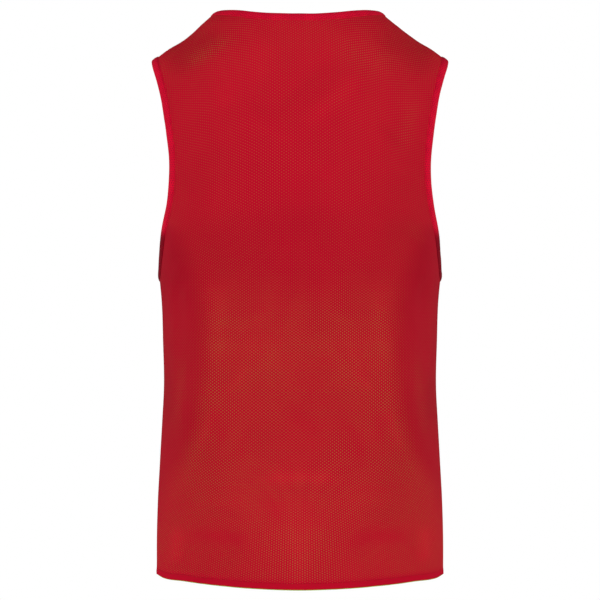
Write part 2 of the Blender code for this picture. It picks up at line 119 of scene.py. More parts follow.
# ---- folds: start, middle and end (across, up), half width, height -------------------------
BACK_FOLDS = (
    # those of the CAD part
    ((-0.130, -0.222), (0.000, -0.236), (0.130, -0.222), 0.030, -0.0030),
    ((0.132, -0.058), (0.072, -0.098), (0.012, -0.134), 0.028, 0.0026),
    ((-0.084, -0.034), (-0.045, -0.076), (0.004, -0.116), 0.026, 0.0030),
    ((-0.052, -0.010), (-0.010, -0.055), (0.042, -0.098), 0.024, -0.0024),
    *pair((0.134, -0.262), (0.111, -0.365), (0.142, -0.520), 0.030, 0.0036),
    ((-0.062, -0.527), (0.000, -0.530), (0.062, -0.527), 0.026, 0.0024),
    ((0.000, -0.590), (0.000, -0.630), (0.000, -0.680), 0.034, 0.0026),
    # finer ones
    ((0.120, -0.038), (0.066, -0.070), (0.020, -0.092), 0.014, -0.0010),
    ((-0.118, -0.088), (-0.074, -0.128), (-0.020, -0.150), 0.016, -0.0013),
    ((0.060, -0.170), (0.010, -0.184), (-0.045, -0.170), 0.018, -0.0010),
    ((-0.128, -0.140), (-0.112, -0.118), (-0.092, -0.104), 0.013, -0.0014),
    ((0.047, -0.362), (0.068, -0.405), (0.093, -0.438), 0.012, 0.0012),
    ((-0.047, -0.360), (-0.070, -0.402), (-0.096, -0.440), 0.012, 0.0012),
    ((0.100, -0.412), (0.117, -0.452), (0.126, -0.504), 0.011, -0.0012),
    ((-0.102, -0.418), (-0.116, -0.456), (-0.130, -0.500), 0.011, -0.0012),
    ((0.118, -0.556), (0.090, -0.564), (0.056, -0.560), 0.008, 0.0009),
    ((0.124, -0.572), (0.094, -0.578), (0.062, -0.574), 0.007, -0.0007),
    ((-0.060, -0.556), (-0.088, -0.566), (-0.116, -0.562), 0.008, 0.0009),
    ((-0.066, -0.578), (-0.092, -0.584), (-0.112, -0.580), 0.007, -0.0007),
    *pair((0.153, -0.596), (0.152, -0.620), (0.154, -0.650), 0.010, 0.0010),
    ((0.086, -0.560), (0.088, -0.610), (0.092, -0.680), 0.024, -0.0016),
    ((-0.090, -0.565), (-0.090, -0.612), (-0.093, -0.680), 0.024, -0.0016),
    ((0.152, -0.290), (0.146, -0.330), (0.150, -0.400), 0.012, -0.0016),
    ((-0.154, -0.285), (-0.148, -0.335), (-0.151, -0.410), 0.012, -0.0016),
)
FRONT_FOLDS = (
    # those of the CAD part
    ((0.128, -0.075), (0.085, -0.125), (0.025, -0.165), 0.030, 0.0028),
    ((-0.124, -0.068), (-0.080, -0.130), (-0.018, -0.182), 0.030, 0.0028),
    ((0.135, -0.300), (0.110, -0.400), (0.136, -0.530), 0.032, 0.0034),
    ((-0.135, -0.310), (-0.108, -0.390), (-0.132, -0.520), 0.032, 0.0034),
    ((-0.070, -0.470), (0.005, -0.482), (0.080, -0.468), 0.030, -0.0026),
    # finer ones
    ((0.110, -0.050), (0.060, -0.105), (0.000, -0.130), 0.016, -0.0012),
    ((-0.100, -0.045), (-0.062, -0.092), (-0.030, -0.112), 0.014, -0.0011),
    ((0.050, -0.360), (0.072, -0.402), (0.098, -0.436), 0.013, 0.0012),
    ((-0.044, -0.372), (-0.066, -0.410), (-0.100, -0.446), 0.013, 0.0012),
    ((0.112, -0.540), (0.084, -0.552), (0.050, -0.548), 0.009, 0.0009),
    ((-0.052, -0.560), (-0.084, -0.570), (-0.118, -0.562), 0.009, 0.0009),
    ((0.010, -0.590), (0.006, -0.625), (0.008, -0.670), 0.030, 0.0022),
    ((0.062, -0.560), (0.066, -0.610), (0.070, -0.690), 0.026, -0.0024),
    ((-0.072, -0.550), (-0.070, -0.612), (-0.068, -0.690), 0.026, -0.0024),
    ((0.122, -0.570), (0.126, -0.620), (0.130, -0.690), 0.022, 0.0022),
    ((-0.128, -0.575), (-0.130, -0.620), (-0.134, -0.690), 0.022, 0.0022),
    ((0.150, -0.270), (0.118, -0.300), (0.080, -0.318), 0.013, 0.0018),
    ((-0.150, -0.262), (-0.116, -0.296), (-0.074, -0.320), 0.014, 0.0019),
    ((0.146, -0.300), (0.120, -0.332), (0.088, -0.352), 0.010, -0.0013),
    ((-0.148, -0.296), (-0.118, -0.330), (-0.082, -0.356), 0.010, -0.0013),
    ((0.100, -0.402), (0.060, -0.424), (0.010, -0.430), 0.012, 0.0014),
    ((-0.104, -0.396), (-0.066, -0.418), (-0.022, -0.428), 0.012, 0.0014),
    ((0.086, -0.436), (0.048, -0.452), (0.004, -0.452), 0.010, -0.0011),
    ((0.060, -0.100), (0.030, -0.190), (0.026, -0.290), 0.020, 0.0012),
    ((-0.066, -0.096), (-0.040, -0.186), (-0.034, -0.270), 0.020, 0.0012),
)
FOLDS = {BACK: BACK_FOLDS, FRONT: FRONT_FOLDS}
FOLD_FADE = 0.034              # distance from the side seams over which the folds fade in
FOLD_END = 1.0 / 3.0           # share of a stroke's length over which each end fades
FOLD_POINTS = 41               # points along a stroke's route

# ---- how finely the cloth is divided -------------------------------------------------------
GIRTH_COLUMNS = 56
HEM_ROWS = 86
CHEST_ROWS = 80
SIDE_CROWDING = 0.40
ARMHOLE_STATIONS = 100
NECK_STATIONS = 54
SHOULDER_STATIONS = 18
SEAM_CROWDING = 0.25
CLEARANCE = 0.0022
CURVE_SAMPLES = 480
SETTLING_STEPS = 24
LONGEST_STEP = 0.0060
FIRST_ACROSS, ACROSS_STEPS = 0.1, 12       # where the search for a point's place across starts
SLOPE_STEP = 1e-6
RIDGE_MARGIN = 1e-3            # turns of the crown this near the ridge lie on it
LEAST_COSINE = 1e-4
CLIMB_TURN = np.pi / 5         # where round the form its climb is measured
NECK_MIDDLE = np.array([0.0, 0.0, 0.040])      # a point inside the neck opening
ARM_MIDDLE = np.array([0.210, 0.0, -0.150])    # a point outside the left armhole

# ---- the cloth that shows ------------------------------------------------------------------
WALL = 0.0009
HEM_BAND = 0.0073              # height of the turned-up hem
HEM_RAISE = 0.0005             # how much the turned-up hem stands out
HEM_STEP = 0.0012              # over which height that step comes in
PUCKER = 0.00022               # height of the puckers along the hem's stitching
PUCKER_REACH = 0.012           # how far above and below the stitching they go
UNEVEN = 0.00022               # height of the worn cloth's slight unevenness
UNEVEN_LARGE = 0.8             # how high its larger waves are beside its small ones
PINCH, PINCH_WIDTH = 0.0005, 0.0030        # how far the seams are drawn in, and how far away
# Bent waves: length, how far they are bent, and over which length.
PUCKER_WAVE = (0.0021, 1.7, 0.013)
ACROSS_WAVE, UP_WAVE = (0.0071, 2.1, 0.031), (0.0123, 1.4, 0.027)
# Slanted waves: length one way and the other, and phase.
FALLING_WAVE, RISING_WAVE = (0.0163, 0.0247, 1.3), (0.0341, -0.0417, 0.4)
PUCKER_GROUP, PUCKER_PHASE = 0.0173, 0.6   # the puckers are stronger in some places


def table_columns(rows, names):
    """A table as one array for each named column."""
    return {name: np.array([row[k] for row in rows], float) for k, name in enumerate(names)}


BODY = table_columns(BODY_SECTIONS, BODY_COLUMNS)
SHOULDER = table_columns(RIDGE, RIDGE_COLUMNS)


def smooth_between(knots, values, at):
    """Cubic through the values, with each slope taken from the neighbouring knots."""
    slopes = np.gradient(values, knots)
    at = np.clip(at, knots[0], knots[-1])
    low = np.clip(np.searchsorted(knots, at, side="right") - 1, 0, len(knots) - 2)
    span = knots[low + 1] - knots[low]
    t = (at - knots[low]) / span
    return ((1 + 2 * t) * (1 - t) ** 2 * values[low] + t * (1 - t) ** 2 * span * slopes[low]
            + t * t * (3 - 2 * t) * values[low + 1] + t * t * (t - 1) * span * slopes[low + 1])


def body_size(name, height):
    """A size of the form's horizontal section at a height."""
    return smooth_between(BODY["height"], BODY[name], height)


def ridge_height(across):
    """Height of the shoulder line at a distance from the middle."""
    return smooth_between(SHOULDER["across"], SHOULDER["height"], np.abs(across))


def depth_at(height, facing):
    """Depth of the form behind or before the side seams."""
    return np.where(facing > 0, body_size("back_depth", height),
                    body_size("front_depth", height))


def distances_along(points):
    """Distance along a polyline at each of its points."""
    steps = np.linalg.norm(np.diff(points, axis=0), axis=1)
    return np.concatenate([[0.0], np.cumsum(steps)])


def spread_along(points, fractions):
    """Points at given fractions of a dense polyline's length."""
    along = distances_along(points)
    wanted = np.asarray(fractions) * along[-1]
    return np.stack([np.interp(wanted, along, column) for column in points.T], axis=1)


def soft_step(value):
    """0 to 1, with level ends."""
    value = np.clip(value, 0.0, 1.0)
    return value * value * (3 - 2 * value)


def form_value(points):
    """Zero on the form: flattened ovals that close over the shoulder line."""
    x, y, z = points[..., 0], points[..., 1], points[..., 2]
    across = np.abs(x) / body_size("half_width", z)
    rise = np.clip((z - UNDERARM_Z) / (ridge_height(x) - UNDERARM_Z), 0.0, None)
    section = 1.0 - across ** body_size("flatness", z)
    crown = 1.0 - rise ** CROWN_POWER
    return (np.abs(y) / depth_at(z, y)) ** body_size("roundness", z) - section * crown


def form_slope(points):
    """Gradient of the form's value, by central differences."""
    slope = np.zeros_like(points)
    for axis in range(3):
        move = np.zeros(3)
        move[axis] = SLOPE_STEP
        change = form_value(points + move) - form_value(points - move)
        slope[..., axis] = change / (2 * SLOPE_STEP)
    return slope


def onto_form(points):
    """Points moved along the slope onto the form."""
    points = np.array(points, float)
    for _ in range(SETTLING_STEPS):
        slope = form_slope(points)
        size = np.maximum((slope ** 2).sum(-1, keepdims=True), TINY)
        move = -form_value(points)[..., None] * slope / size
        length = np.maximum(np.linalg.norm(move, axis=-1, keepdims=True), TINY)
        points = points + move * np.minimum(1.0, LONGEST_STEP / length)
    return points


def form_normal(points):
    """Outward direction of the form; square to a seam's plane on the seam itself."""
    slope = form_slope(points)
    on_seam = np.abs(points[..., 1]) <= 2 * HALF_SEAM
    slope[..., 1] = np.where(on_seam, 0.0, slope[..., 1])
    return slope / np.linalg.norm(slope, axis=-1, keepdims=True)


def form_point(turn, crown, height, facing):
    """A point of the form: turned round from the middle, and at a height or up the crown."""
    rise = np.sin(crown) ** (2 / CROWN_POWER)
    x = FIRST_ACROSS * np.ones_like(rise * turn)
    for _ in range(ACROSS_STEPS):
        z = np.where(crown > 0, UNDERARM_Z + rise * (ridge_height(x) - UNDERARM_Z), height)
        x = body_size("half_width", z) * np.sin(turn) ** (2 / body_size("flatness", z))
    y = depth_at(z, facing) * (np.cos(turn) * np.cos(crown)) ** (2 / body_size("roundness", z))
    return np.stack([x, facing * y, z], axis=-1)


TURNS = np.linspace(0.0, np.pi / 2, CURVE_SAMPLES)
FLAT = np.zeros(CURVE_SAMPLES)
GIRTH = distances_along(form_point(TURNS, FLAT, FLAT + UNDERARM_Z, BACK))
CLIMB = distances_along(form_point(FLAT + CLIMB_TURN, TURNS, FLAT + UNDERARM_Z, BACK))


def from_pattern(pattern, facing):
    """Pattern points, girth and climb, set onto the form."""
    turn = np.interp(pattern[:, 0], GIRTH, TURNS)
    crown = np.interp(pattern[:, 1], CLIMB, TURNS)
    return form_point(turn, crown, UNDERARM_Z + np.minimum(pattern[:, 1], 0.0), facing)


def to_pattern(points, facing):
    """Girth and climb of points that lie on the form."""
    x, y, z = np.abs(points[:, 0]), np.abs(points[:, 1]), points[:, 2]
    rise = np.clip((z - UNDERARM_Z) / (ridge_height(x) - UNDERARM_Z), 0.0, 1.0)
    crown = np.arcsin(np.clip(rise ** (CROWN_POWER / 2), 0.0, 1.0))
    side = (x / body_size("half_width", z)) ** (body_size("flatness", z) / 2)
    deep = (y / depth_at(z, facing)) ** (body_size("roundness", z) / 2)
    turn = np.arctan2(side, deep / np.maximum(np.cos(crown), LEAST_COSINE))
    on_ridge = crown > np.pi / 2 - RIDGE_MARGIN
    turn = np.where(on_ridge, np.arcsin(np.clip(side, 0.0, 1.0)), turn)
    climb = np.where(z < UNDERARM_Z, z - UNDERARM_Z, np.interp(crown, TURNS, CLIMB))
    return np.stack([np.interp(turn, TURNS, GIRTH), climb], axis=1)


# ---- cut edges -----------------------------------------------------------------------------
def closed_run(rows, first, last, count):
    """Stations on the form between two rows of a closed, smooth edge."""
    lap = np.concatenate([rows, rows, rows])
    knots = distances_along(lap)
    low, high = len(rows) + first, len(rows) + last
    at = np.linspace(knots[low], knots[high], CURVE_SAMPLES)
    curve = np.stack([smooth_between(knots, column, at) for column in lap.T], axis=1)
    even = np.linspace(0.0, 1.0, count + 1)
    eased = (1.0 - np.cos(np.pi * even)) / 2.0
    return spread_along(onto_form(curve), even + SEAM_CROWDING * (eased - even))


def armhole_loop():
    """Stations round the left armhole: up the back from the underarm, then down the front."""
    rows = np.array(ARMHOLE_EDGE)
    tip = int(np.argmin(np.abs(rows[1:, 1]))) + 1
    back = closed_run(rows, 0, tip, ARMHOLE_STATIONS)
    front = closed_run(rows, tip, len(rows), ARMHOLE_STATIONS)
    loop = np.concatenate([back[:-1], front[:-1]])
    loop[::ARMHOLE_STATIONS, 1] = 0.0
    return loop


def neck_loop():
    """Stations round the neck from the middle of the back, by the wearer's left."""
    left = np.array(NECK_EDGE)
    rows = np.concatenate([left, left[-2:0:-1] * MIRROR])
    corner = int(np.argmin(np.abs(left[:, 1])))
    back = closed_run(rows, 0, corner, NECK_STATIONS)
    front = closed_run(rows, corner, len(left) - 1, NECK_STATIONS)
    half = np.concatenate([back[:-1], front])
    half[NECK_STATIONS, 1] = 0.0
    half[[0, -1], 0] = 0.0
    return np.concatenate([half, half[-2:0:-1] * MIRROR])


def edge_frame(loop, opening):
    """Normals, directions into the cloth, and points where the binding ends, along an edge."""
    tangent = np.roll(loop, -1, axis=0) - np.roll(loop, 1, axis=0)
    normal = form_normal(loop)
    into = np.cross(normal, tangent)
    into /= np.linalg.norm(into, axis=1, keepdims=True)
    into *= np.sign(np.einsum("ij,ij->i", into, loop - np.array(opening)))[:, None]
    held = np.abs(loop) < (TINY, TINY, 0.0)
    reached = onto_form(np.where(held, 0.0, loop + REACH * into))
    return normal, into, np.where(held, 0.0, reached)


ARM_LOOP = armhole_loop()
NECK_LOOP = neck_loop()


# ---- panels --------------------------------------------------------------------------------
def crowded(count, crowding):
    """Fractions from 0 to 1 whose spacing closes up towards 1."""
    steps = 1.0 - crowding * ((np.arange(count) + 0.5) / count) ** 2
    return np.concatenate([[0.0], np.cumsum(steps)]) / steps.sum()


def inside(points, outline):
    """Which points lie inside a closed outline."""
    x, y = points[:, 0, None], points[:, 1, None]
    x0, y0 = outline[:, 0], outline[:, 1]
    x1, y1 = np.roll(x0, -1), np.roll(y0, -1)
    crosses = (y0 > y) != (y1 > y)
    with np.errstate(divide="ignore", invalid="ignore"):
        at = x0 + (y - y0) * (x1 - x0) / (y1 - y0)
    return (crosses & (x < at)).sum(axis=1) % 2 == 1


def strip(cut, line, count):
    """Triangles under a binding, from a cut edge's points to the line where the binding ends."""
    faces = []
    for i in range(count - 1):
        faces += [(cut + i, cut + i + 1, line + i + 1), (cut + i, line + i + 1, line + i)]
    return np.array(faces)


def half_pattern(facing):
    """Pattern points and triangles of the wearer's left half of a panel."""
    girth = crowded(GIRTH_COLUMNS, SIDE_CROWDING) * GIRTH[-1]
    body_rows = np.linspace(HEM_Z - UNDERARM_Z, 0.0, HEM_ROWS + 1)
    chest_rows = np.linspace(0.0, CLIMB[-1], CHEST_ROWS + 1)[1:]
    rows = np.concatenate([body_rows, chest_rows])

    arm_reach = edge_frame(ARM_LOOP, ARM_MIDDLE)[2]
    neck_reach = edge_frame(NECK_LOOP, NECK_MIDDLE)[2]
    if facing > 0:
        arm_pick = np.arange(ARMHOLE_STATIONS + 1)
        neck_pick = np.arange(NECK_STATIONS, -1, -1)
    else:
        arm_pick = np.arange(2 * ARMHOLE_STATIONS, ARMHOLE_STATIONS - 1, -1) % len(ARM_LOOP)
        neck_pick = np.arange(NECK_STATIONS, 2 * NECK_STATIONS + 1)
    arm_cut, arm_line = (to_pattern(run[arm_pick], facing) for run in (ARM_LOOP, arm_reach))
    neck_cut, neck_line = (to_pattern(run[neck_pick], facing) for run in (NECK_LOOP, neck_reach))

    side = [(GIRTH[-1], row) for row in body_rows if row < arm_line[0, 1] - CLEARANCE]
    hem = [(column, body_rows[0]) for column in girth[:-1]]
    seam = np.linspace(arm_line[-1], neck_line[0], SHOULDER_STATIONS + 1)[1:-1]
    middle = [(0.0, row) for row in rows[::-1]
              if body_rows[0] < row < neck_line[-1, 1] - CLEARANCE]
    outline = np.concatenate([hem, side, arm_line, seam, neck_line, middle])
    lattice = np.array([(column, row) for row in rows for column in girth])
    apart = np.linalg.norm(lattice[:, None] - outline, axis=2).min(axis=1)
    lattice = lattice[inside(lattice, outline) & (apart > CLEARANCE)]
    filled = np.concatenate([outline, lattice])
    around = range(len(outline))
    _, _, faces, origins, *_ = delaunay_2d_cdt(
        [Vector(point) for point in filled],
        [(k, (k + 1) % len(outline)) for k in around], [], 0, TINY, True)
    faces = np.array([[origins[corner][0] for corner in face] for face in faces])
    faces = faces[inside(filled[faces].mean(axis=1), outline)]

    arm_start = len(hem) + len(side)
    neck_start = arm_start + len(arm_line) + len(seam)
    arm_under = strip(len(filled), arm_start, len(arm_cut))
    neck_under = strip(len(filled) + len(arm_cut), neck_start, len(neck_cut))
    return (np.concatenate([filled, arm_cut, neck_cut]),
            np.concatenate([faces, arm_under, neck_under]))


def stroke(points, start, middle, end, half_width):
    """How strongly a soft stroke acts at points given across and up."""
    t = np.linspace(0.0, 1.0, FOLD_POINTS)[:, None]
    start, middle, end = np.array(start), np.array(middle), np.array(end)
    handle = 2 * middle - (start + end) / 2
    route = (1 - t) ** 2 * start + 2 * t * (1 - t) * handle + t * t * end
    apart = np.linalg.norm(points[:, None, [0, 2]] - route, axis=2)
    share = apart.argmin(axis=1) / (FOLD_POINTS - 1)
    taper = soft_step(share / FOLD_END) * soft_step((1.0 - share) / FOLD_END)
    return soft_step(1.0 - apart.min(axis=1) / half_width) * taper


def strokes_at(rows, points):
    """Sum of a table's strokes at points."""
    total = np.zeros(len(points))
    for start, middle, end, half_width, amount in rows:
        total += amount * stroke(points, start, middle, end, half_width)
    return total


def fold_height(points):
    """How far the soft folds lift or sink the cloth at each point."""
    lift = np.zeros(len(points))
    for facing, rows in FOLDS.items():
        side = points[:, 1] * facing > 0
        lift[side] = strokes_at(rows, points[side])
    return lift * soft_step(np.abs(points[:, 1]) / FOLD_FADE)


def hang(points, facing, drop):
    """Points near the hem let down by an even drop and to the hem's own line."""
    below = np.clip((UNDERARM_Z - points[:, 2]) / (UNDERARM_Z - HEM_Z), 0.0, 1.0)
    share = below ** HANG_POWER
    at_hem = share ** CORNER_POWER
    across = np.abs(points[:, 0]) / body_size("half_width", HEM_Z)
    dip = HEM_DIP * soft_step(1.0 - across) if facing > 0 else 0.0
    corner = HEM_CORNER * at_hem * soft_step((across - HEM_CORNER_FROM) / (1 - HEM_CORNER_FROM))
    sag = HEM_SAG * at_hem * soft_step(1.0 - np.abs(across - HEM_SAG_AT) / HEM_SAG_WIDTH)
    return points - (share * (dip + drop) + sag - corner)[:, None] * (0.0, 0.0, 1.0)


def above_hem(pattern):
    """Height of pattern points above the hem's edge."""
    return pattern[:, 1] - (HEM_Z - UNDERARM_Z)


def bent_wave(along, other, length, bend, bend_length):
    """A wave along one direction, bent to and fro along another."""
    return np.sin(along / length + bend * np.sin(other / bend_length))


def slanted_wave(along, other, length, other_length, phase):
    """A wave that runs at a slant to two directions."""
    return np.sin(along / length + other / other_length + phase)


def hem_relief(pattern):
    """The turned-up hem's step, and the small puckers along its stitching."""
    up, along = above_hem(pattern), pattern[:, 0]
    band = soft_step((HEM_BAND + HEM_STEP / 2 - up) / HEM_STEP)
    pucker = bent_wave(along, along, *PUCKER_WAVE) * np.sin(along / PUCKER_GROUP + PUCKER_PHASE)
    near = soft_step(1.0 - np.abs(up - HEM_BAND) / PUCKER_REACH)
    return HEM_RAISE * band + PUCKER * pucker * near


def mirrored_panel(facing):
    """Pattern points, form points and triangles of a whole panel."""
    pattern, faces = half_pattern(facing)
    left = from_pattern(pattern, facing)
    middle = pattern[:, 0] < TINY
    left[middle, 0] = 0.0
    twin = np.arange(len(left))
    twin[~middle] = len(left) + np.arange((~middle).sum())
    form = np.concatenate([left, left[~middle] * MIRROR])
    whole = np.concatenate([pattern, pattern[~middle] * (-1.0, 1.0)])
    faces = np.concatenate([faces, twin[faces][:, ::-1]])
    return whole, form, faces


PANELS = {facing: mirrored_panel(facing) for facing in (BACK, FRONT)}


def outward(points, faces, facing):
    """Faces turned so that their normals point out of the form."""
    a, b, c = (points[faces[:, k]] for k in range(3))
    if (np.cross(b - a, c - a)[:, 1] * facing).sum() < 0:
        return faces[:, ::-1]
    return faces


def rim_of(faces):
    """Directed edges that only one triangle uses."""
    edges = np.concatenate([faces[:, [0, 1]], faces[:, [1, 2]], faces[:, [2, 0]]])
    keys = {(a, b) for a, b in edges.tolist()}
    return [(a, b) for a, b in edges.tolist() if (b, a) not in keys]


# Height, and how much wider than the form the bib hangs there.
WIDENED = (
    (-0.700, 0.0045), (-0.500, 0.0045), (-0.440, 0.0020), (-0.350, 0.0010), (-0.180, 0.0000),
    (-0.140, 0.0050), (-0.120, 0.0075), (-0.040, 0.0075), (-0.017, 0.0030), (0.000, -0.0070),
    (0.014, 0.0000),
)
NECK_SHIFT = np.array([0.0022, 0.0, 0.0008])   # the neck sits a little to the wearer's left
NECK_SHIFT_FROM, NECK_SHIFT_OVER = 0.004, 0.026    # heights over which that comes in
CRISP_FROM = np.radians(75)    # edges sharper than this stay crisp


def settle(points):
    """Points as the bib sits on its wearer, not quite even."""
    points = np.array(points, float)
    height = points[:, 2]
    points[:, 0] *= 1.0 + np.interp(height, *zip(*WIDENED))
    return points + soft_step((height - NECK_SHIFT_FROM) / NECK_SHIFT_OVER)[:, None] * NECK_SHIFT


def add_mesh(name, points, faces, material, pattern=None, **values):
    """A smooth-shaded mesh object with its pattern coordinates and other values."""
    points = settle(points)
    data = bpy.data.meshes.new(name)
    data.from_pydata(points.tolist(), [], faces)
    data.materials.append(material)
    data.shade_smooth()
    data.set_sharp_from_angle(angle=CRISP_FROM)
    if pattern is not None:
        flat = np.zeros((len(points), 3), np.float32)
        flat[:, :2] = pattern
        data.attributes.new("pattern", "FLOAT_VECTOR", "POINT").data.foreach_set(
            "vector", flat.ravel())
    for key, value in values.items():
        data.attributes.new(key, "FLOAT", "POINT").data.foreach_set(
            "value", value.astype(np.float32))
    obj = bpy.data.objects.new(name, data)
    bpy.context.scene.collection.objects.link(obj)
    return obj


def panel_skin(facing, depth, drop):
    """Points of a whole panel at a depth under the garment's outer face."""
    pattern, form, _ = PANELS[facing]
    lift = LIFTS[facing] + hem_relief(pattern)
    skin = form + form_normal(form) * (lift - depth)[:, None]
    skin = hang(skin, facing, drop)
    skin[:, 1] = facing * np.maximum(facing * skin[:, 1], 0.0)
    return skin


def fine_relief(pattern, form):
    """Slight unevenness of worn cloth, and the pinch along the seams."""
    across, up = pattern[:, 0], pattern[:, 1]
    small = bent_wave(across, up, *ACROSS_WAVE) * bent_wave(up, across, *UP_WAVE)
    large = slanted_wave(across, up, *FALLING_WAVE) * slanted_wave(up, across, *RISING_WAVE)
    from_seam = np.abs(form[:, 1])
    uneven = UNEVEN * (small + UNEVEN_LARGE * large) * soft_step(from_seam / FOLD_FADE)
    return uneven - PINCH * soft_step(1.0 - from_seam / PINCH_WIDTH)


LIFTS = {facing: fold_height(form) + fine_relief(pattern, form)
         for facing, (pattern, form, _) in PANELS.items()}

# Painted light and shade, where the cloth is painted lighter or darker: start, middle, end, half
# width, amount.
BACK_PAINTED_SHADING = (
    ((0.169, -0.037), (0.131, -0.013), (0.088, 0.020), 0.038, -0.18),
    ((-0.171, -0.037), (-0.131, -0.013), (-0.085, 0.018), 0.043, -0.18),
    *pair((0.057, -0.393), (0.074, -0.412), (0.093, -0.433), 0.008, 0.05),
    *pair((0.102, -0.442), (0.112, -0.471), (0.125, -0.502), 0.010, 0.06),
    *pair((0.092, -0.284), (0.092, -0.329), (0.095, -0.376), 0.015, 0.03),
    ((0.057, -0.531), (0.000, -0.527), (-0.057, -0.531), 0.012, 0.10),
    ((0.000, -0.529), (0.000, -0.590), (0.000, -0.662), 0.050, 0.04),
    ((0.000, -0.596), (0.000, -0.632), (0.000, -0.664), 0.024, 0.04),
    *pair((0.152, -0.586), (0.150, -0.614), (0.152, -0.643), 0.015, 0.13),
    ((-0.076, -0.039), (-0.041, -0.079), (0.005, -0.115), 0.018, 0.07),
    ((0.093, -0.056), (0.088, -0.073), (0.081, -0.091), 0.021, 0.05),
    ((-0.110, -0.097), (-0.109, -0.119), (-0.102, -0.141), 0.022, -0.04),
    ((-0.040, -0.029), (-0.006, -0.062), (0.033, -0.101), 0.010, -0.04),
    ((0.064, -0.098), (0.030, -0.121), (-0.005, -0.134), 0.011, 0.03),
    *pair((0.163, -0.400), (0.160, -0.436), (0.160, -0.480), 0.017, -0.06),
    *pair((0.157, -0.245), (0.147, -0.272), (0.142, -0.310), 0.024, -0.04),
    ((0.045, 0.004), (0.045, -0.032), (0.036, -0.067), 0.024, 0.03),
)
FRONT_PAINTED_SHADING = (
    *pair((0.170, 0.010), (0.135, 0.005), (0.110, 0.025), 0.036, -0.20),
    ((0.112, -0.085), (0.062, -0.128), (0.012, -0.160), 0.018, 0.06),
    ((-0.104, -0.075), (-0.060, -0.130), (-0.006, -0.168), 0.016, 0.05),
    ((0.060, -0.528), (0.004, -0.530), (-0.056, -0.526), 0.012, 0.08),
    ((0.000, -0.535), (0.000, -0.590), (0.000, -0.665), 0.050, 0.06),
)
PAINTED_SHADING = {BACK: BACK_PAINTED_SHADING, FRONT: FRONT_PAINTED_SHADING}

# Where the holes show more or less: start, middle, end, half width, amount.
BACK_NETS = (
    *pair((0.093, -0.299), (0.096, -0.353), (0.106, -0.406), 0.017, 0.40),
    *pair((0.106, -0.400), (0.119, -0.471), (0.145, -0.543), 0.015, 0.30),
    *pair((0.139, -0.376), (0.145, -0.430), (0.153, -0.501), 0.011, 0.45),
    ((0.012, -0.350), (0.045, -0.398), (0.081, -0.442), 0.013, 0.25),
    ((-0.014, -0.350), (-0.050, -0.394), (-0.085, -0.436), 0.013, 0.25),
    ((0.045, -0.359), (0.033, -0.398), (0.045, -0.438), 0.018, 0.15),
    *pair((0.068, -0.365), (0.075, -0.395), (0.086, -0.426), 0.010, -0.30),
    *pair((0.102, -0.442), (0.096, -0.469), (0.090, -0.495), 0.015, -0.45),
    ((0.045, -0.460), (0.066, -0.481), (0.073, -0.521), 0.010, -0.30),
    ((-0.038, -0.460), (-0.068, -0.483), (-0.069, -0.529), 0.011, -0.50),
    ((0.024, -0.436), (-0.006, -0.462), (-0.030, -0.486), 0.017, -0.35),
    ((0.048, -0.538), (0.033, -0.561), (0.023, -0.583), 0.014, -0.40),
    ((0.001, -0.540), (-0.009, -0.561), (-0.014, -0.581), 0.011, -0.35),
    ((0.000, -0.575), (0.000, -0.625), (0.000, -0.690), 0.060, 0.60),
    *pair((0.143, -0.608), (0.095, -0.599), (0.045, -0.608), 0.015, -0.60),
    *pair((0.131, -0.536), (0.093, -0.543), (0.057, -0.539), 0.008, -0.20),
    ((0.143, -0.032), (0.112, -0.018), (0.076, 0.009), 0.016, 0.75),
    ((-0.041, -0.006), (-0.085, -0.029), (-0.116, -0.056), 0.029, 0.45),
    ((0.000, -0.109), (-0.041, -0.079), (-0.073, -0.053), 0.015, 0.15),
    ((-0.140, -0.073), (-0.128, -0.109), (-0.116, -0.151), 0.017, 0.45),
    ((-0.125, -0.216), (-0.140, -0.236), (-0.154, -0.252), 0.014, 0.25),
)
FRONT_NETS = (
    ((0.095, -0.300), (0.098, -0.350), (0.108, -0.405), 0.017, 0.35),
    ((-0.093, -0.310), (-0.098, -0.360), (-0.110, -0.410), 0.017, 0.35),
    ((0.105, -0.400), (0.118, -0.470), (0.146, -0.540), 0.015, 0.30),
    ((-0.107, -0.400), (-0.120, -0.476), (-0.144, -0.545), 0.015, 0.30),
    ((0.030, -0.440), (-0.004, -0.462), (-0.040, -0.480), 0.017, -0.35),
    ((0.135, -0.606), (0.090, -0.600), (0.040, -0.608), 0.015, -0.50),
    ((-0.045, -0.604), (-0.092, -0.598), (-0.138, -0.606), 0.015, -0.50),
)
NETS = {BACK: BACK_NETS, FRONT: FRONT_NETS}
NET_STRENGTH = {BACK: 0.45, FRONT: 0.25}   # how much of its table each panel takes
MOST_HOLES = 1.4               # the holes never show more than this
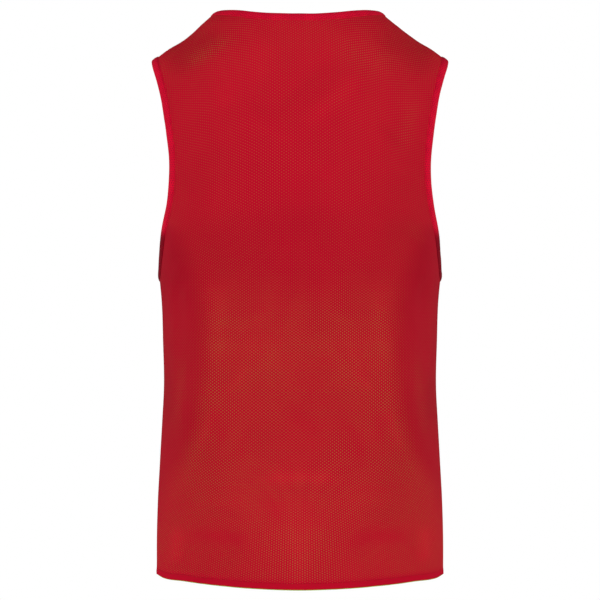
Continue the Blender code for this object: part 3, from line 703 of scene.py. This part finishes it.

# Height, and there: the holes' strength, a level of painted light and shade, the spacing of the
# holes across the cloth and up it, and how far from the middle the painted shade of the sides
# begins.
LEVEL_COLUMNS = ("height", "strength", "level", "across", "up", "side")
LEVELS = (
    (-0.6700, 0.47, 0.06, 0.00600, 0.00267, 0.1900),
    (-0.6450, 0.47, 0.06, 0.00590, 0.00272, 0.1900),
    (-0.5910, 0.52, 0.04, 0.00550, 0.00294, 0.1800),
    (-0.5475, 0.61, 0.02, 0.00510, 0.00324, 0.1600),
    (-0.5035, 0.59, -0.01, 0.00480, 0.00360, 0.1330),
    (-0.4595, 0.62, -0.02, 0.00475, 0.00365, 0.1150),
    (-0.4155, 0.72, -0.01, 0.00475, 0.00363, 0.1095),
    (-0.3716, 0.66, -0.01, 0.00476, 0.00349, 0.1080),
    (-0.3430, 0.60, -0.02, 0.00484, 0.00330, 0.1085),
    (-0.3277, 0.50, -0.03, 0.00490, 0.00317, 0.1095),
    (-0.2837, 0.29, -0.07, 0.00490, 0.00308, 0.1225),
    (-0.2400, 0.24, -0.08, 0.00515, 0.00305, 0.1420),
    (-0.2290, 0.24, -0.06, 0.00520, 0.00302, 0.1500),
    (-0.2180, 0.24, -0.03, 0.00530, 0.00300, 0.1800),
    (-0.1960, 0.24, 0.01, 0.00540, 0.00300, 0.1900),
    (-0.1520, 0.24, 0.01, 0.00540, 0.00306, 0.1900),
    (-0.1080, 0.23, 0.04, 0.00535, 0.00318, 0.1900),
    (-0.0640, 0.27, 0.08, 0.00540, 0.00302, 0.1900),
    (-0.0200, 0.36, 0.11, 0.00540, 0.00292, 0.1900),
    (0.0400, 0.36, 0.11, 0.00540, 0.00290, 0.1900),
)
LEVEL = table_columns(LEVELS, LEVEL_COLUMNS)
SIDE_PAINTED_SHADE = -0.11              # painted shade: how much darker the sides are painted, where they turn away from the light
SIDE_FAINT = 0.70              # how much weaker the holes are there
SIDE_EDGE = 0.034              # over which width that comes in
SIDE_LEAD = 0.013              # how far inside the table's places it begins
HOLE_COLUMN = 0.00244          # distance between columns of holes in the painted net
HOLE_PITCH = 0.00340           # distance between the holes of one column
LIME_HOLES = 1.0               # how strongly the holes of the lime layer show
ARC_POINTS = 41                # points along an arc when it is measured
NET_SAMPLES, NET_MARGIN = 400, 0.01        # heights at which the net is laid out, and beyond


def level_at(name, height):
    """A value of the table of levels at a height."""
    return np.interp(height, LEVEL["height"], LEVEL[name])


def at_side(form):
    """0 in the middle of a panel and 1 at its sides."""
    beyond = np.abs(form[:, 0]) - level_at("side", form[:, 2]) + SIDE_LEAD
    return soft_step(beyond / SIDE_EDGE)


def tone_at(form, facing):
    """Painted light and shade: how much lighter or darker the cloth is painted at each point."""
    tone = level_at("level", form[:, 2]) + SIDE_PAINTED_SHADE * at_side(form)
    return tone + strokes_at(PAINTED_SHADING[facing], form)


def holes_at(form, facing):
    """How strongly the holes show at each point."""
    even = level_at("strength", form[:, 2]) * (1.0 - SIDE_FAINT * at_side(form))
    uneven = NET_STRENGTH[facing] * strokes_at(NETS[facing], form)
    return np.clip(even + uneven, 0.0, MOST_HOLES)


def arc_across(form, facing):
    """Signed distance along the form's horizontal section from the middle to each point."""
    shares = np.linspace(0.0, 1.0, ARC_POINTS)
    x = form[:, 0, None] * shares
    z = np.repeat(form[:, 2, None], len(shares), axis=1)
    rise = np.clip((z - UNDERARM_Z) / (ridge_height(x) - UNDERARM_Z), 0.0, 1.0)
    section = 1 - (np.abs(x) / body_size("half_width", z)) ** body_size("flatness", z)
    within = np.clip(section * (1 - rise ** CROWN_POWER), 0.0, None)
    y = depth_at(z, facing) * within ** (1 / body_size("roundness", z))
    length = np.hypot(np.diff(x, axis=1), np.diff(y, axis=1)).sum(axis=1)
    return np.sign(form[:, 0]) * length


def net_place(pattern, form, facing):
    """Where each point lies in the net, in the metres of a net with even holes."""
    climb = np.linspace(HEM_Z - UNDERARM_Z - NET_MARGIN, CLIMB[-1] + NET_MARGIN, NET_SAMPLES)
    rate = HOLE_PITCH / level_at("up", climb + UNDERARM_Z)
    grown = np.concatenate([[0.0], np.cumsum((rate[1:] + rate[:-1]) / 2 * np.diff(climb))])
    up = np.interp(pattern[:, 1], climb, grown)
    across = arc_across(form, facing) * 2 * HOLE_COLUMN / level_at("across", form[:, 2])
    return np.stack([across, up], axis=1)


def add_panel(name, facing, depth_in, drop, material):
    """A cut panel as a thin wall of cloth."""
    pattern, form, faces = PANELS[facing]
    outer = panel_skin(facing, depth_in, drop)
    inner = panel_skin(facing, depth_in + WALL, drop)
    faces = outward(outer, faces, facing)
    count = len(outer)
    rim = [(b, a, a + count, b + count) for a, b in rim_of(faces)]
    whole = faces.tolist() + (faces[:, ::-1] + count).tolist() + rim
    place = net_place(pattern, form, facing)
    if depth_in > 0:
        # only the red layer gets painted light and shade
        tone, holes = np.zeros(count), np.full(count, LIME_HOLES)
    else:
        tone, holes = tone_at(form, facing), holes_at(form, facing)
    return add_mesh(name, np.concatenate([outer, inner]), whole, material, np.tile(place, (2, 1)),
                    tone=np.tile(tone, 2), holes=np.tile(holes, 2),
                    hem=np.tile(above_hem(pattern), 2))


# ---- bindings and stitches -----------------------------------------------------------------
UNDER = CLOTH + LAYER_STEP + SEAM_GAP      # depth of both layers and the clearance
TAPE = 0.0011                  # wall of the tape that shows
FOLD_OUT = 0.0008              # how much further its rounded fold reaches
FOLD_TURNS = 9                 # points round that fold, with its two ends
STITCHED_AT = 0.13             # where the tape is sewn through, as a share of its width
STITCHED_WALL = 0.00052        # how thick it is there, drawn in by the stitches
UNDERARM_SHADE_FROM, UNDERARM_SHADE_OVER = -0.222, 0.024   # below here the tape is painted darker at the back, as shade where it turns away under the arm
UNDERARM_SHADE_BACK = 0.012
TOP_SHADE_FROM, TOP_SHADE_OVER = -0.037, 0.020   # above here the armholes' tapes face up and are painted in shade
TOP_SHADE_ASIDE, ASIDE_OVER = 0.12, 0.02      # further aside than the neck's tape, which is left out
TOP_SHADE = 0.5                   # how much of the underarm's painted shade they have there

# From the tape's inner edge (0) to the cut edge (1): how far its outside bulges, and how far
# its inside is sunk.
TAPE_SHAPE = (
    (0.000, -0.00160, 0.00065), (0.010, -0.00136, 0.00062), (0.030, -0.00110, 0.00058),
    (0.065, -0.00082, 0.00050), (0.110, -0.00066, 0.00042), (0.150, -0.00066, 0.00036),
    (0.220, -0.00034, 0.00020), (0.340, 0.00000, 0.00005), (0.500, 0.00022, 0.00000),
    (0.700, 0.00024, 0.00000), (0.880, 0.00010, 0.00000), (1.000, 0.00000, 0.00000),
)
OVER_CLOTH = 4                 # a face of the first section that lies over the cloth

STITCH_RADIUS = 0.00036
STITCH_SQUASH = 0.6            # how flat a stitch lies
STITCH_SIDES = 6
STITCH_RINGS = ((0.0, 0.35), (0.12, 0.85), (0.5, 1.0), (0.88, 0.85), (1.0, 0.35))
HEM_STITCH_PITCH, HEM_STITCH = 0.0032, 0.0020
TAPE_STITCH_PITCH, TAPE_STITCH = 0.0031, 0.0019
HEM_STITCHED = 0.988           # share of the hem's length that has stitches
HEM_STATIONS = 301
ON_CLOTH = 0.00005             # how far the hem's stitches stand off the cloth


def cloth_lift(points):
    """How far the cloth stands off the form at points along an edge."""
    lift = fold_height(points)
    for facing in (BACK, FRONT):
        side = points[:, 1] * facing >= 0
        here = points[side]
        pattern = to_pattern(here, facing) * np.where(here[:, :1] < 0, (-1.0, 1.0), (1.0, 1.0))
        lift[side] += fine_relief(pattern, here)
    return lift[:, None]


def binding_frame(loop, opening):
    """What a binding's sections are made from, along an edge."""
    normal, into, reached = edge_frame(loop, opening)
    return {"edge": loop, "normal": normal, "into": into, "reached": reached,
            "reach_normal": form_normal(reached), "lift": cloth_lift(loop),
            "reach_lift": cloth_lift(reached), "along": distances_along(
                np.concatenate([loop, loop[:1]]))}


def tape_normal(binding, share):
    """Outward directions at a share of the tape's width, not quite of length one."""
    return binding["reach_normal"] * (1 - share) + binding["normal"] * share


def tape_point(binding, share, height):
    """Points over or under the cloth, from the tape's inner edge (0) to the cut edge (1)."""
    base = binding["reached"] * (1 - share) + binding["edge"] * share
    lift = binding["reach_lift"] * (1 - share) + binding["lift"] * share
    return base + tape_normal(binding, share) * (lift + height)


def tape_skin(binding, top, bottom, beyond):
    """A section's outline: over the cloth, round its edge and back under it."""
    shown = top > SEAM_GAP
    rows = [(share, bulge if shown else -sunk) for share, bulge, sunk in TAPE_SHAPE]
    upper = [tape_point(binding, share, top + height) for share, height in rows]
    lower = [tape_point(binding, share, -bottom - height) for share, height in reversed(rows)]
    middle = (top - bottom) / 2
    half = (top + bottom) / 2
    around = []
    for turn in np.linspace(0, np.pi, FOLD_TURNS)[1:-1]:
        around.append(binding["edge"] - binding["into"] * beyond * np.sin(turn)
                      + binding["normal"] * (binding["lift"] + middle + half * np.cos(turn)))
    return upper + around + lower


def tape_shade_at(edge):
    """Painted shade on a tape at points of its edge: darker where it turns away under the arm at the
    back, and where it faces up.
    """
    aside, back, height = np.abs(edge[:, 0]), edge[:, 1], edge[:, 2]
    under = soft_step((UNDERARM_SHADE_FROM - height) / UNDERARM_SHADE_OVER) * soft_step(back / UNDERARM_SHADE_BACK)
    facing_up = soft_step((height - TOP_SHADE_FROM) / TOP_SHADE_OVER)
    return under + TOP_SHADE * facing_up * soft_step((aside - TOP_SHADE_ASIDE) / ASIDE_OVER)


def add_tape(name, binding, material):
    """A closed ring of folded tape."""
    outer = tape_skin(binding, SEAM_GAP + TAPE, UNDER + TAPE, LAYER_STEP + FOLD_OUT)
    inner = tape_skin(binding, SEAM_GAP, UNDER, SEAM_GAP + FOLD_OUT)[::-1]
    points = np.stack(outer + inner, axis=1)
    count, sides = points.shape[:2]
    gaps = np.linalg.norm(np.roll(points, -1, axis=1) - points, axis=2).mean(axis=0)
    across = np.concatenate([[0.0], np.cumsum(gaps)[:-1]])
    pattern = np.stack([np.repeat(binding["along"][:-1], sides), np.tile(across, count)], axis=1)
    faces = []
    for i in range(count):
        j = (i + 1) % count
        for k in range(sides):
            n = (k + 1) % sides
            faces.append((i * sides + k, i * sides + n, j * sides + n, j * sides + k))
    flat = points.reshape(-1, 3)
    first, second, third = (flat[corner] for corner in faces[OVER_CLOTH][:3])
    if np.dot(np.cross(second - first, third - first), binding["reach_normal"][0]) < 0:
        faces = [face[::-1] for face in faces]
    # painted shade along the tape: under the arm at the back, and where the armholes' tapes face up
    turned = np.repeat(tape_shade_at(binding["edge"]), sides)
    return add_mesh(name, flat, faces, material, pattern, turned=turned)


def stitch_mesh(ends, normals):
    """Small rounded stitches between pairs of end points."""
    sides = range(STITCH_SIDES)
    points, faces = [], []
    for (start, end), normal in zip(ends, normals):
        along = end - start
        side = np.cross(normal, along)
        side /= np.linalg.norm(side)
        first = len(points)
        for share, size in STITCH_RINGS:
            for k in sides:
                turn = 2 * np.pi * k / STITCH_SIDES
                points.append(start + along * share + STITCH_RADIUS * size * (
                    side * np.cos(turn) + normal * STITCH_SQUASH * np.sin(turn)))
        last = len(points) - STITCH_SIDES
        for at in range(first, last, STITCH_SIDES):
            for k in sides:
                n = (k + 1) % STITCH_SIDES
                faces.append((at + k, at + n, at + STITCH_SIDES + n, at + STITCH_SIDES + k))
        faces.append(tuple(first + k for k in sides)[::-1])
        faces.append(tuple(last + k for k in sides))
    return np.array(points), faces


def stitches_along(path, normals, pitch, length):
    """Ends and normals of even stitches along a path of points."""
    along = distances_along(path)
    starts = np.arange(pitch / 2, along[-1] - length, pitch)

    def at(where, columns):
        return np.stack([np.interp(where, along, column) for column in columns.T], axis=1)

    return list(zip(at(starts, path), at(starts + length, path))), at(starts + length / 2, normals)


def add_stitches(name, rows, material):
    """Rows of stitches as one piece."""
    points, faces = [], []
    for ends, normals in rows:
        more, quads = stitch_mesh(ends, normals)
        before = sum(len(part) for part in points)
        faces += [tuple(k + before for k in quad) for quad in quads]
        points.append(more)
    seam = add_mesh(name, np.concatenate(points), faces, material)
    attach(seam, "root")


def tape_stitches(binding, height, sign):
    """A row of stitches along a binding."""
    path = tape_point(binding, STITCHED_AT, height)
    normals = sign * tape_normal(binding, STITCHED_AT)
    closed = np.concatenate([path, path[:1]])
    return stitches_along(closed, np.concatenate([normals, normals[:1]]),
                          TAPE_STITCH_PITCH, TAPE_STITCH)


def hem_stitches(facing, depth, drop, sign):
    """A row of stitches along a hem."""
    across = np.linspace(-HEM_STITCHED, HEM_STITCHED, HEM_STATIONS) * GIRTH[-1]
    up = np.full_like(across, HEM_Z - UNDERARM_Z + HEM_BAND)
    signed = np.stack([across, up], axis=1)
    form = from_pattern(np.stack([np.abs(across), up], axis=1), facing)
    form[:, 0] *= np.where(across < 0, -1.0, 1.0)
    normal = form_normal(form)
    lift = fold_height(form) + fine_relief(signed, form) + hem_relief(signed)
    path = hang(form + normal * (lift - depth)[:, None], facing, drop)
    return stitches_along(path, sign * normal, HEM_STITCH_PITCH, HEM_STITCH)


# ---- materials -----------------------------------------------------------------------------
WHITE = (1.0, 1.0, 1.0, 1.0)
MIDDLE = (0.5, 0.5, 0.5)       # the middle of a noise's colours
SPECULAR = 0.012
SHEEN_ROUGHNESS = 0.5

WANDER, WANDER_SCALE = 0.0010, 14.0        # how far the net wanders, and in how fine a pattern
SLIDE, SLIDE_SCALE = 0.004, 6.0            # the same for the net behind it
BEHIND_STRETCH = (1.012, 0.985, 1.0)       # how much closer or wider apart that one's holes are
BEHIND_SHOWN = 0.3                         # and how strongly they show
HEM_EDGE = (0.0028, 0.0055)                # heights between which the hem's holes begin to show
HEM_EDGE_HOLES, HEM_BAND_HOLES = 0.20, 0.45    # how strongly, below and above that
ABOVE_BAND, ABOVE_BAND_HOLES = 0.0070, 0.55    # height over which the rest comes in, above the hem
SINGLE = (HEM_BAND - 0.0012, HEM_BAND + 0.0004)    # heights between which the doubled hem ends
TAPE_SHADE_LEVEL = 0.30                        # brightness of the tape's painted shade, where it turns away under the arm
FIBRE_STRETCH = (1.0, 0.45, 1.0)           # the net's fibres run up the cloth
FIBRE_RELIEF = {"net": 0.25, "tape": 0.3}  # how high fibres are beside the depth of a hole
TAPE_GAPS = 0.9                            # how strongly the tape's small gaps show
NET_ROUGHNESS = (0.68, 0.9)                # of the thread and of what shows in a hole


class Nodes:
    """Short calls for a node tree."""

    def __init__(self, tree):
        self.tree = tree

    def add(self, kind, **settings):
        node = self.tree.nodes.new(kind)
        for key, value in settings.items():
            setattr(node, key, value)
        return node

    def plug(self, value, socket):
        if isinstance(value, bpy.types.NodeSocket):
            self.tree.links.new(value, socket)
        else:
            socket.default_value = value

    def math(self, operation, *values, clamp=False):
        node = self.add("ShaderNodeMath", operation=operation, use_clamp=clamp)
        for value, socket in zip(values, node.inputs):
            self.plug(value, socket)
        return node.outputs[0]

    def ramp(self, value, low, high, out_low=0.0, out_high=1.0):
        node = self.add("ShaderNodeMapRange", interpolation_type="SMOOTHSTEP")
        for socket, given in zip(node.inputs, (value, low, high, out_low, out_high)):
            self.plug(given, socket)
        return node.outputs[0]

    def mix(self, share, first, second, blend="MIX"):
        node = self.add("ShaderNodeMix", data_type="RGBA", blend_type=blend)
        self.plug(share, node.inputs[0])
        self.plug(first, node.inputs[6])
        self.plug(second, node.inputs[7])
        return node.outputs[2]

    def noise(self, vector, scale, detail=2.0, output="Fac"):
        node = self.add("ShaderNodeTexNoise")
        self.plug(vector, node.inputs["Vector"])
        node.inputs["Scale"].default_value = scale
        node.inputs["Detail"].default_value = detail
        node.inputs["Roughness"].default_value = 0.5
        return node.outputs[output]

    def mottle(self, noise, between, levels):
        """A noise as a brightness: values between two of its own become two levels."""
        return self.ramp(noise, *between, *levels)

    def sway(self, vector, scale, amount):
        """A small shift to and fro that changes from place to place."""
        centred = self.vector("SUBTRACT", self.noise(vector, scale, output="Color"), MIDDLE)
        return self.vector("SCALE", centred, amount)

    def attribute(self, name, output="Fac"):
        return self.add("ShaderNodeAttribute", attribute_name=name).outputs[output]

    def group(self, tree, vector):
        node = self.add("ShaderNodeGroup", node_tree=tree)
        self.plug(vector, node.inputs[0])
        return node.outputs[0]

    def bump(self, height, shader, strength, distance):
        node = self.add("ShaderNodeBump")
        node.inputs["Strength"].default_value = strength
        node.inputs["Distance"].default_value = distance
        self.plug(height, node.inputs["Height"])
        self.plug(node.outputs[0], shader.inputs["Normal"])

    def vector(self, operation, first, second):
        node = self.add("ShaderNodeVectorMath", operation=operation)
        self.plug(first, node.inputs[0])
        self.plug(second, node.inputs[1] if operation != "SCALE" else node.inputs["Scale"])
        return node.outputs[0]


def lattice_group(name, column, pitch, radius, soft):
    """Round dots whose neighbouring columns are half a pitch apart; 1 in a dot and 0 outside."""
    group = bpy.data.node_groups.new(name, "ShaderNodeTree")
    group.interface.new_socket("Pattern", in_out="INPUT", socket_type="NodeSocketVector")
    group.interface.new_socket("Dot", in_out="OUTPUT", socket_type="NodeSocketFloat")
    n = Nodes(group)
    start = n.add("NodeGroupInput")
    end = n.add("NodeGroupOutput")
    split = n.add("ShaderNodeSeparateXYZ")
    n.plug(start.outputs[0], split.inputs[0])
    nearest = None
    for shift in (0.0, 0.5):
        legs = []
        for axis, period in ((0, 2 * column), (1, pitch)):
            turns = n.math("ADD", n.math("DIVIDE", split.outputs[axis], period), shift)
            off = n.math("SUBTRACT", n.math("FRACT", turns), 0.5)
            legs.append(n.math("POWER", n.math("MULTIPLY", off, period), 2.0))
        distance = n.math("SQRT", n.math("ADD", *legs))
        nearest = distance if nearest is None else n.math("MINIMUM", nearest, distance)
    dot = n.ramp(nearest, radius - soft, radius + soft, 1.0, 0.0)
    n.plug(dot, end.inputs[0])
    return group


def material(name, roughness, sheen, sheen_tint):
    """A cloth material, its shader and short calls for its nodes."""
    made = bpy.data.materials.new(name)
    made.use_nodes = True
    shader = made.node_tree.nodes["Principled BSDF"]
    shader.inputs["Roughness"].default_value = roughness
    shader.inputs["Specular IOR Level"].default_value = SPECULAR
    shader.inputs["Sheen Weight"].default_value = sheen
    shader.inputs["Sheen Roughness"].default_value = SHEEN_ROUGHNESS
    shader.inputs["Sheen Tint"].default_value = sheen_tint
    return made, shader, Nodes(made.node_tree)


def net_material(name, thread, other_layer_in_shade, dark_shade_behind, sheen_tint):
    """Knitted net: thread with round holes, in which the other layer is painted as it looks in
    shade, and painted dark shade where both layers' holes meet or the hem is doubled.
    """
    made, shader, n = material(name, roughness=0.7, sheen=0.008, sheen_tint=sheen_tint)
    pattern = n.attribute("pattern", "Vector")
    hem = n.attribute("hem")
    hole = n.group(HOLES, n.vector("ADD", pattern, n.sway(pattern, WANDER_SCALE, WANDER)))
    stretched = n.vector("MULTIPLY", pattern, BEHIND_STRETCH)
    other = n.group(OTHER_HOLES, n.vector("ADD", stretched, n.sway(pattern, SLIDE_SCALE, SLIDE)))

    coarse = n.noise(pattern, scale=30.0, detail=3.0)
    patch = n.mottle(coarse, between=(0.36, 0.64), levels=(0.92, 1.06))
    above = n.ramp(hem, HEM_BAND, HEM_BAND + ABOVE_BAND)
    band = n.math("ADD", n.ramp(hem, *HEM_EDGE, HEM_EDGE_HOLES, HEM_BAND_HOLES),
                  n.math("MULTIPLY", above, ABOVE_BAND_HOLES))
    strength = n.math("MULTIPLY", n.math("MULTIPLY", patch, band), n.attribute("holes"))
    # a hole shows the other layer painted as it looks in shade, or painted dark shade where its
    # holes line up
    behind = n.mix(n.math("MULTIPLY", other, BEHIND_SHOWN), other_layer_in_shade, dark_shade_behind)
    # in the doubled hem a hole shows painted dark shade
    behind = n.mix(n.ramp(hem, *SINGLE), dark_shade_behind, behind)

    fibre = n.noise(n.vector("MULTIPLY", pattern, FIBRE_STRETCH), scale=2600.0)
    fine = n.mottle(fibre, between=(0.25, 0.75), levels=(0.86, 1.08))
    broad = n.noise(pattern, scale=9.0, detail=3.0)
    cloud = n.mottle(broad, between=(0.3, 0.7), levels=(0.97, 1.03))
    # the thread's colour is scaled by the painted light and shade
    tone = n.math("ADD", 1.0, n.attribute("tone"))
    lit = n.vector("SCALE", thread, n.math("MULTIPLY", n.math("MULTIPLY", fine, cloud), tone))
    colour = n.mix(n.math("MULTIPLY", hole, strength, clamp=True), lit, behind)
    n.plug(colour, shader.inputs["Base Color"])
    n.plug(n.ramp(hole, 0.0, 1.0, *NET_ROUGHNESS), shader.inputs["Roughness"])
    height = n.math("SUBTRACT", n.math("MULTIPLY", fibre, FIBRE_RELIEF["net"]), hole)
    n.bump(height, shader, strength=0.5, distance=0.00025)
    return made


def tape_material(name, thread, gap, sheen_tint):
    """Folded knit tape with fine slanting ribs."""
    made, shader, n = material(name, roughness=0.65, sheen=0.05, sheen_tint=sheen_tint)
    pattern = n.attribute("pattern", "Vector")
    dots = n.group(TAPE_DOTS, pattern)
    fibre = n.noise(pattern, scale=2200.0)
    fine = n.mottle(fibre, between=(0.25, 0.75), levels=(0.88, 1.06))
    cloud = n.mottle(n.noise(pattern, scale=60.0), between=(0.3, 0.7), levels=(0.92, 1.06))
    # the tape's colour is darkened by its painted shade
    turned = n.ramp(n.attribute("turned"), 0.0, 1.0, 1.0, TAPE_SHADE_LEVEL)
    lit = n.vector("SCALE", thread, n.math("MULTIPLY", n.math("MULTIPLY", fine, cloud), turned))
    n.plug(n.mix(n.math("MULTIPLY", dots, TAPE_GAPS), lit, gap), shader.inputs["Base Color"])
    height = n.math("SUBTRACT", n.math("MULTIPLY", fibre, FIBRE_RELIEF["tape"]), dots)
    n.bump(height, shader, strength=0.5, distance=0.0002)
    return made


def thread_material(name, colour):
    """Sewing thread with a slight twist."""
    made, shader, n = material(name, roughness=0.6, sheen=0.05, sheen_tint=(1.0, 0.3, 0.3, 1.0))
    twist = n.noise(n.add("ShaderNodeTexCoord").outputs["Object"], scale=1800.0, detail=1.0)
    level = n.mottle(twist, between=(0.3, 0.7), levels=(0.7, 1.15))
    n.plug(n.vector("SCALE", colour, level), shader.inputs["Base Color"])
    n.bump(twist, shader, strength=0.4, distance=0.0001)
    return made


HOLES = lattice_group("net_holes", HOLE_COLUMN, HOLE_PITCH, radius=0.00046, soft=0.00018)
OTHER_HOLES = lattice_group("net_holes_behind", HOLE_COLUMN, HOLE_PITCH,
                            radius=0.00070, soft=0.00040)
TAPE_DOTS = lattice_group("tape_dots", 0.0027, 0.0030, radius=0.00056, soft=0.00028)
# the colours in the holes are painted shade: the other layer as it looks in shade, and the dark
# inside
RED_NET = net_material(
    "red_net", thread=(0.468, 0.0029, 0.0195), other_layer_in_shade=(0.02, 0.360, 0.048, 1.0),
    dark_shade_behind=(0.06, 0.050, 0.012, 1.0), sheen_tint=(1.0, 0.15, 0.2, 1.0))
LIME_NET = net_material(
    "lime_net", thread=(0.30, 0.62, 0.04), other_layer_in_shade=(0.25, 0.04, 0.02, 1.0),
    dark_shade_behind=(0.10, 0.02, 0.01, 1.0), sheen_tint=(0.7, 1.0, 0.3, 1.0))
TAPE_RED = tape_material(
    "red_tape", thread=(0.66, 0.0040, 0.030), gap=(0.20, 0.008, 0.012, 1.0),
    sheen_tint=(1.0, 0.15, 0.25, 1.0))
THREAD = thread_material("red_thread", (0.36, 0.004, 0.014))
LIME_THREAD = thread_material("lime_thread", (0.24, 0.42, 0.05))

# ---- the pieces ----------------------------------------------------------------------------
BACK_AREA, FRONT_AREA = 0.287, 0.270


def cloth(piece, node):
    """Attach a panel to the root, and hide the CAD part that it stands for."""
    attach(piece, "root")
    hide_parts(node)


for word, facing, area in (("back", BACK, BACK_AREA), ("front", FRONT, FRONT_AREA)):
    outer = add_panel("cloth_" + word + "_outer", facing, 0.0, 0.0, RED_NET)
    cloth(outer, word + "_outer")
    inner = add_panel("cloth_" + word + "_inner", facing, LAYER_STEP, LINER_DROP, LIME_NET)
    cloth(inner, word + "_inner")
    rows = [hem_stitches(facing, -ON_CLOTH, 0.0, 1.0)]
    add_stitches("stitches_hem_" + word + "_outer", rows, THREAD)
    rows = [hem_stitches(facing, LAYER_STEP + WALL, LINER_DROP, -1.0)]
    add_stitches("stitches_hem_" + word + "_inner", rows, LIME_THREAD)

EDGES = (
    ("neck", "neck_binding", NECK_LOOP, NECK_MIDDLE),
    ("armhole_left", "armhole_binding_left", ARM_LOOP, ARM_MIDDLE),
    ("armhole_right", "armhole_binding_right", (ARM_LOOP * MIRROR)[::-1], ARM_MIDDLE * MIRROR),
)
for word, node, loop, opening in EDGES:
    binding = binding_frame(loop, opening)
    tape = add_tape("tape_" + word, binding, TAPE_RED)
    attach(tape, "root")
    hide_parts(node)
    rows = [tape_stitches(binding, SEAM_GAP + STITCHED_WALL, 1.0),
            tape_stitches(binding, -UNDER - STITCHED_WALL, -1.0)]
    add_stitches("stitches_" + word, rows, THREAD)

# ---- studio --------------------------------------------------------------------------------
LOOK_AT = (0.0, 0.0, -0.317)
CAMERA_AWAY, LENS, SENSOR = 2.4, 116.13, 36.0
LIGHT_SIZE = 1.2
KEY_AWAY, KEY_POWER = 3.2, 54
FILL_ASIDE, FILL_AWAY, FILL_POWER = 2.8, 1.6, 34
SKY_GLOW = 0.20
FLOOR_Z, FLOOR_RADIUS, FLOOR_SIDES, FLOOR_GLOW = -1.72, 6.3, 128, 0.68
FLOOR_TONES = ((0.90, 0.90, 0.90, 1.0), (0.93, 0.93, 0.93, 1.0))

scene = bpy.context.scene
scene.view_settings.view_transform = "Standard"


def aim(obj, place):
    """Put a light or camera in its place, turned towards the bib."""
    obj.location = place
    obj.rotation_euler = (Vector(LOOK_AT) - obj.location).to_track_quat("-Z", "Y").to_euler()
    scene.collection.objects.link(obj)


def area_light(name, place, power):
    """A soft square light aimed at the bib."""
    data = bpy.data.lights.new(name, "AREA")
    data.shape = "SQUARE"
    data.size = LIGHT_SIZE
    data.energy = power
    aim(bpy.data.objects.new(name, data), place)


camera_data = bpy.data.cameras.new("camera")
camera_data.lens = LENS
camera_data.sensor_width = SENSOR
camera = bpy.data.objects.new("camera", camera_data)
aim(camera, (0.0, CAMERA_AWAY, LOOK_AT[2]))
scene.camera = camera

for word, facing in (("back", BACK), ("front", FRONT)):
    area_light("key_" + word, (0.0, facing * KEY_AWAY, 0.0), KEY_POWER)
for word, facing in (("back", BACK), ("front", FRONT)):
    for hand, side in (("left", 1), ("right", -1)):
        place = (side * FILL_ASIDE, facing * FILL_AWAY, 0.0)
        area_light("fill_" + word + "_" + hand, place, FILL_POWER)

# The camera sees white behind the bib, and the bib is lit by a fainter glow.
world = bpy.data.worlds.new("studio")
scene.world = world
world.use_nodes = True
sky = Nodes(world.node_tree)
glow = world.node_tree.nodes["Background"]
glow.inputs["Color"].default_value = WHITE
glow.inputs["Strength"].default_value = SKY_GLOW
seen = sky.add("ShaderNodeBackground")
seen.inputs["Color"].default_value = WHITE
blend = sky.add("ShaderNodeMixShader")
sky.plug(sky.add("ShaderNodeLightPath").outputs["Is Camera Ray"], blend.inputs[0])
sky.plug(glow.outputs[0], blend.inputs[1])
sky.plug(seen.outputs[0], blend.inputs[2])
sky.plug(blend.outputs[0], world.node_tree.nodes["World Output"].inputs["Surface"])

turns = np.linspace(0, 2 * np.pi, FLOOR_SIDES, endpoint=False)
disc = np.stack([FLOOR_RADIUS * np.cos(turns), FLOOR_RADIUS * np.sin(turns),
                 np.full(FLOOR_SIDES, FLOOR_Z)], axis=1)
floor_paint, floor_shader, paint = material("pale_floor", roughness=0.9, sheen=0.0, sheen_tint=WHITE)
speck = paint.noise(paint.add("ShaderNodeTexCoord").outputs["Object"], scale=3.0)
paint.plug(paint.mix(speck, *FLOOR_TONES), floor_shader.inputs["Base Color"])
floor_shader.inputs["Emission Color"].default_value = WHITE
floor_shader.inputs["Emission Strength"].default_value = FLOOR_GLOW
floor = add_mesh("floor", disc, [tuple(range(FLOOR_SIDES))], floor_paint)
floor.visible_diffuse = False
floor.visible_glossy = False
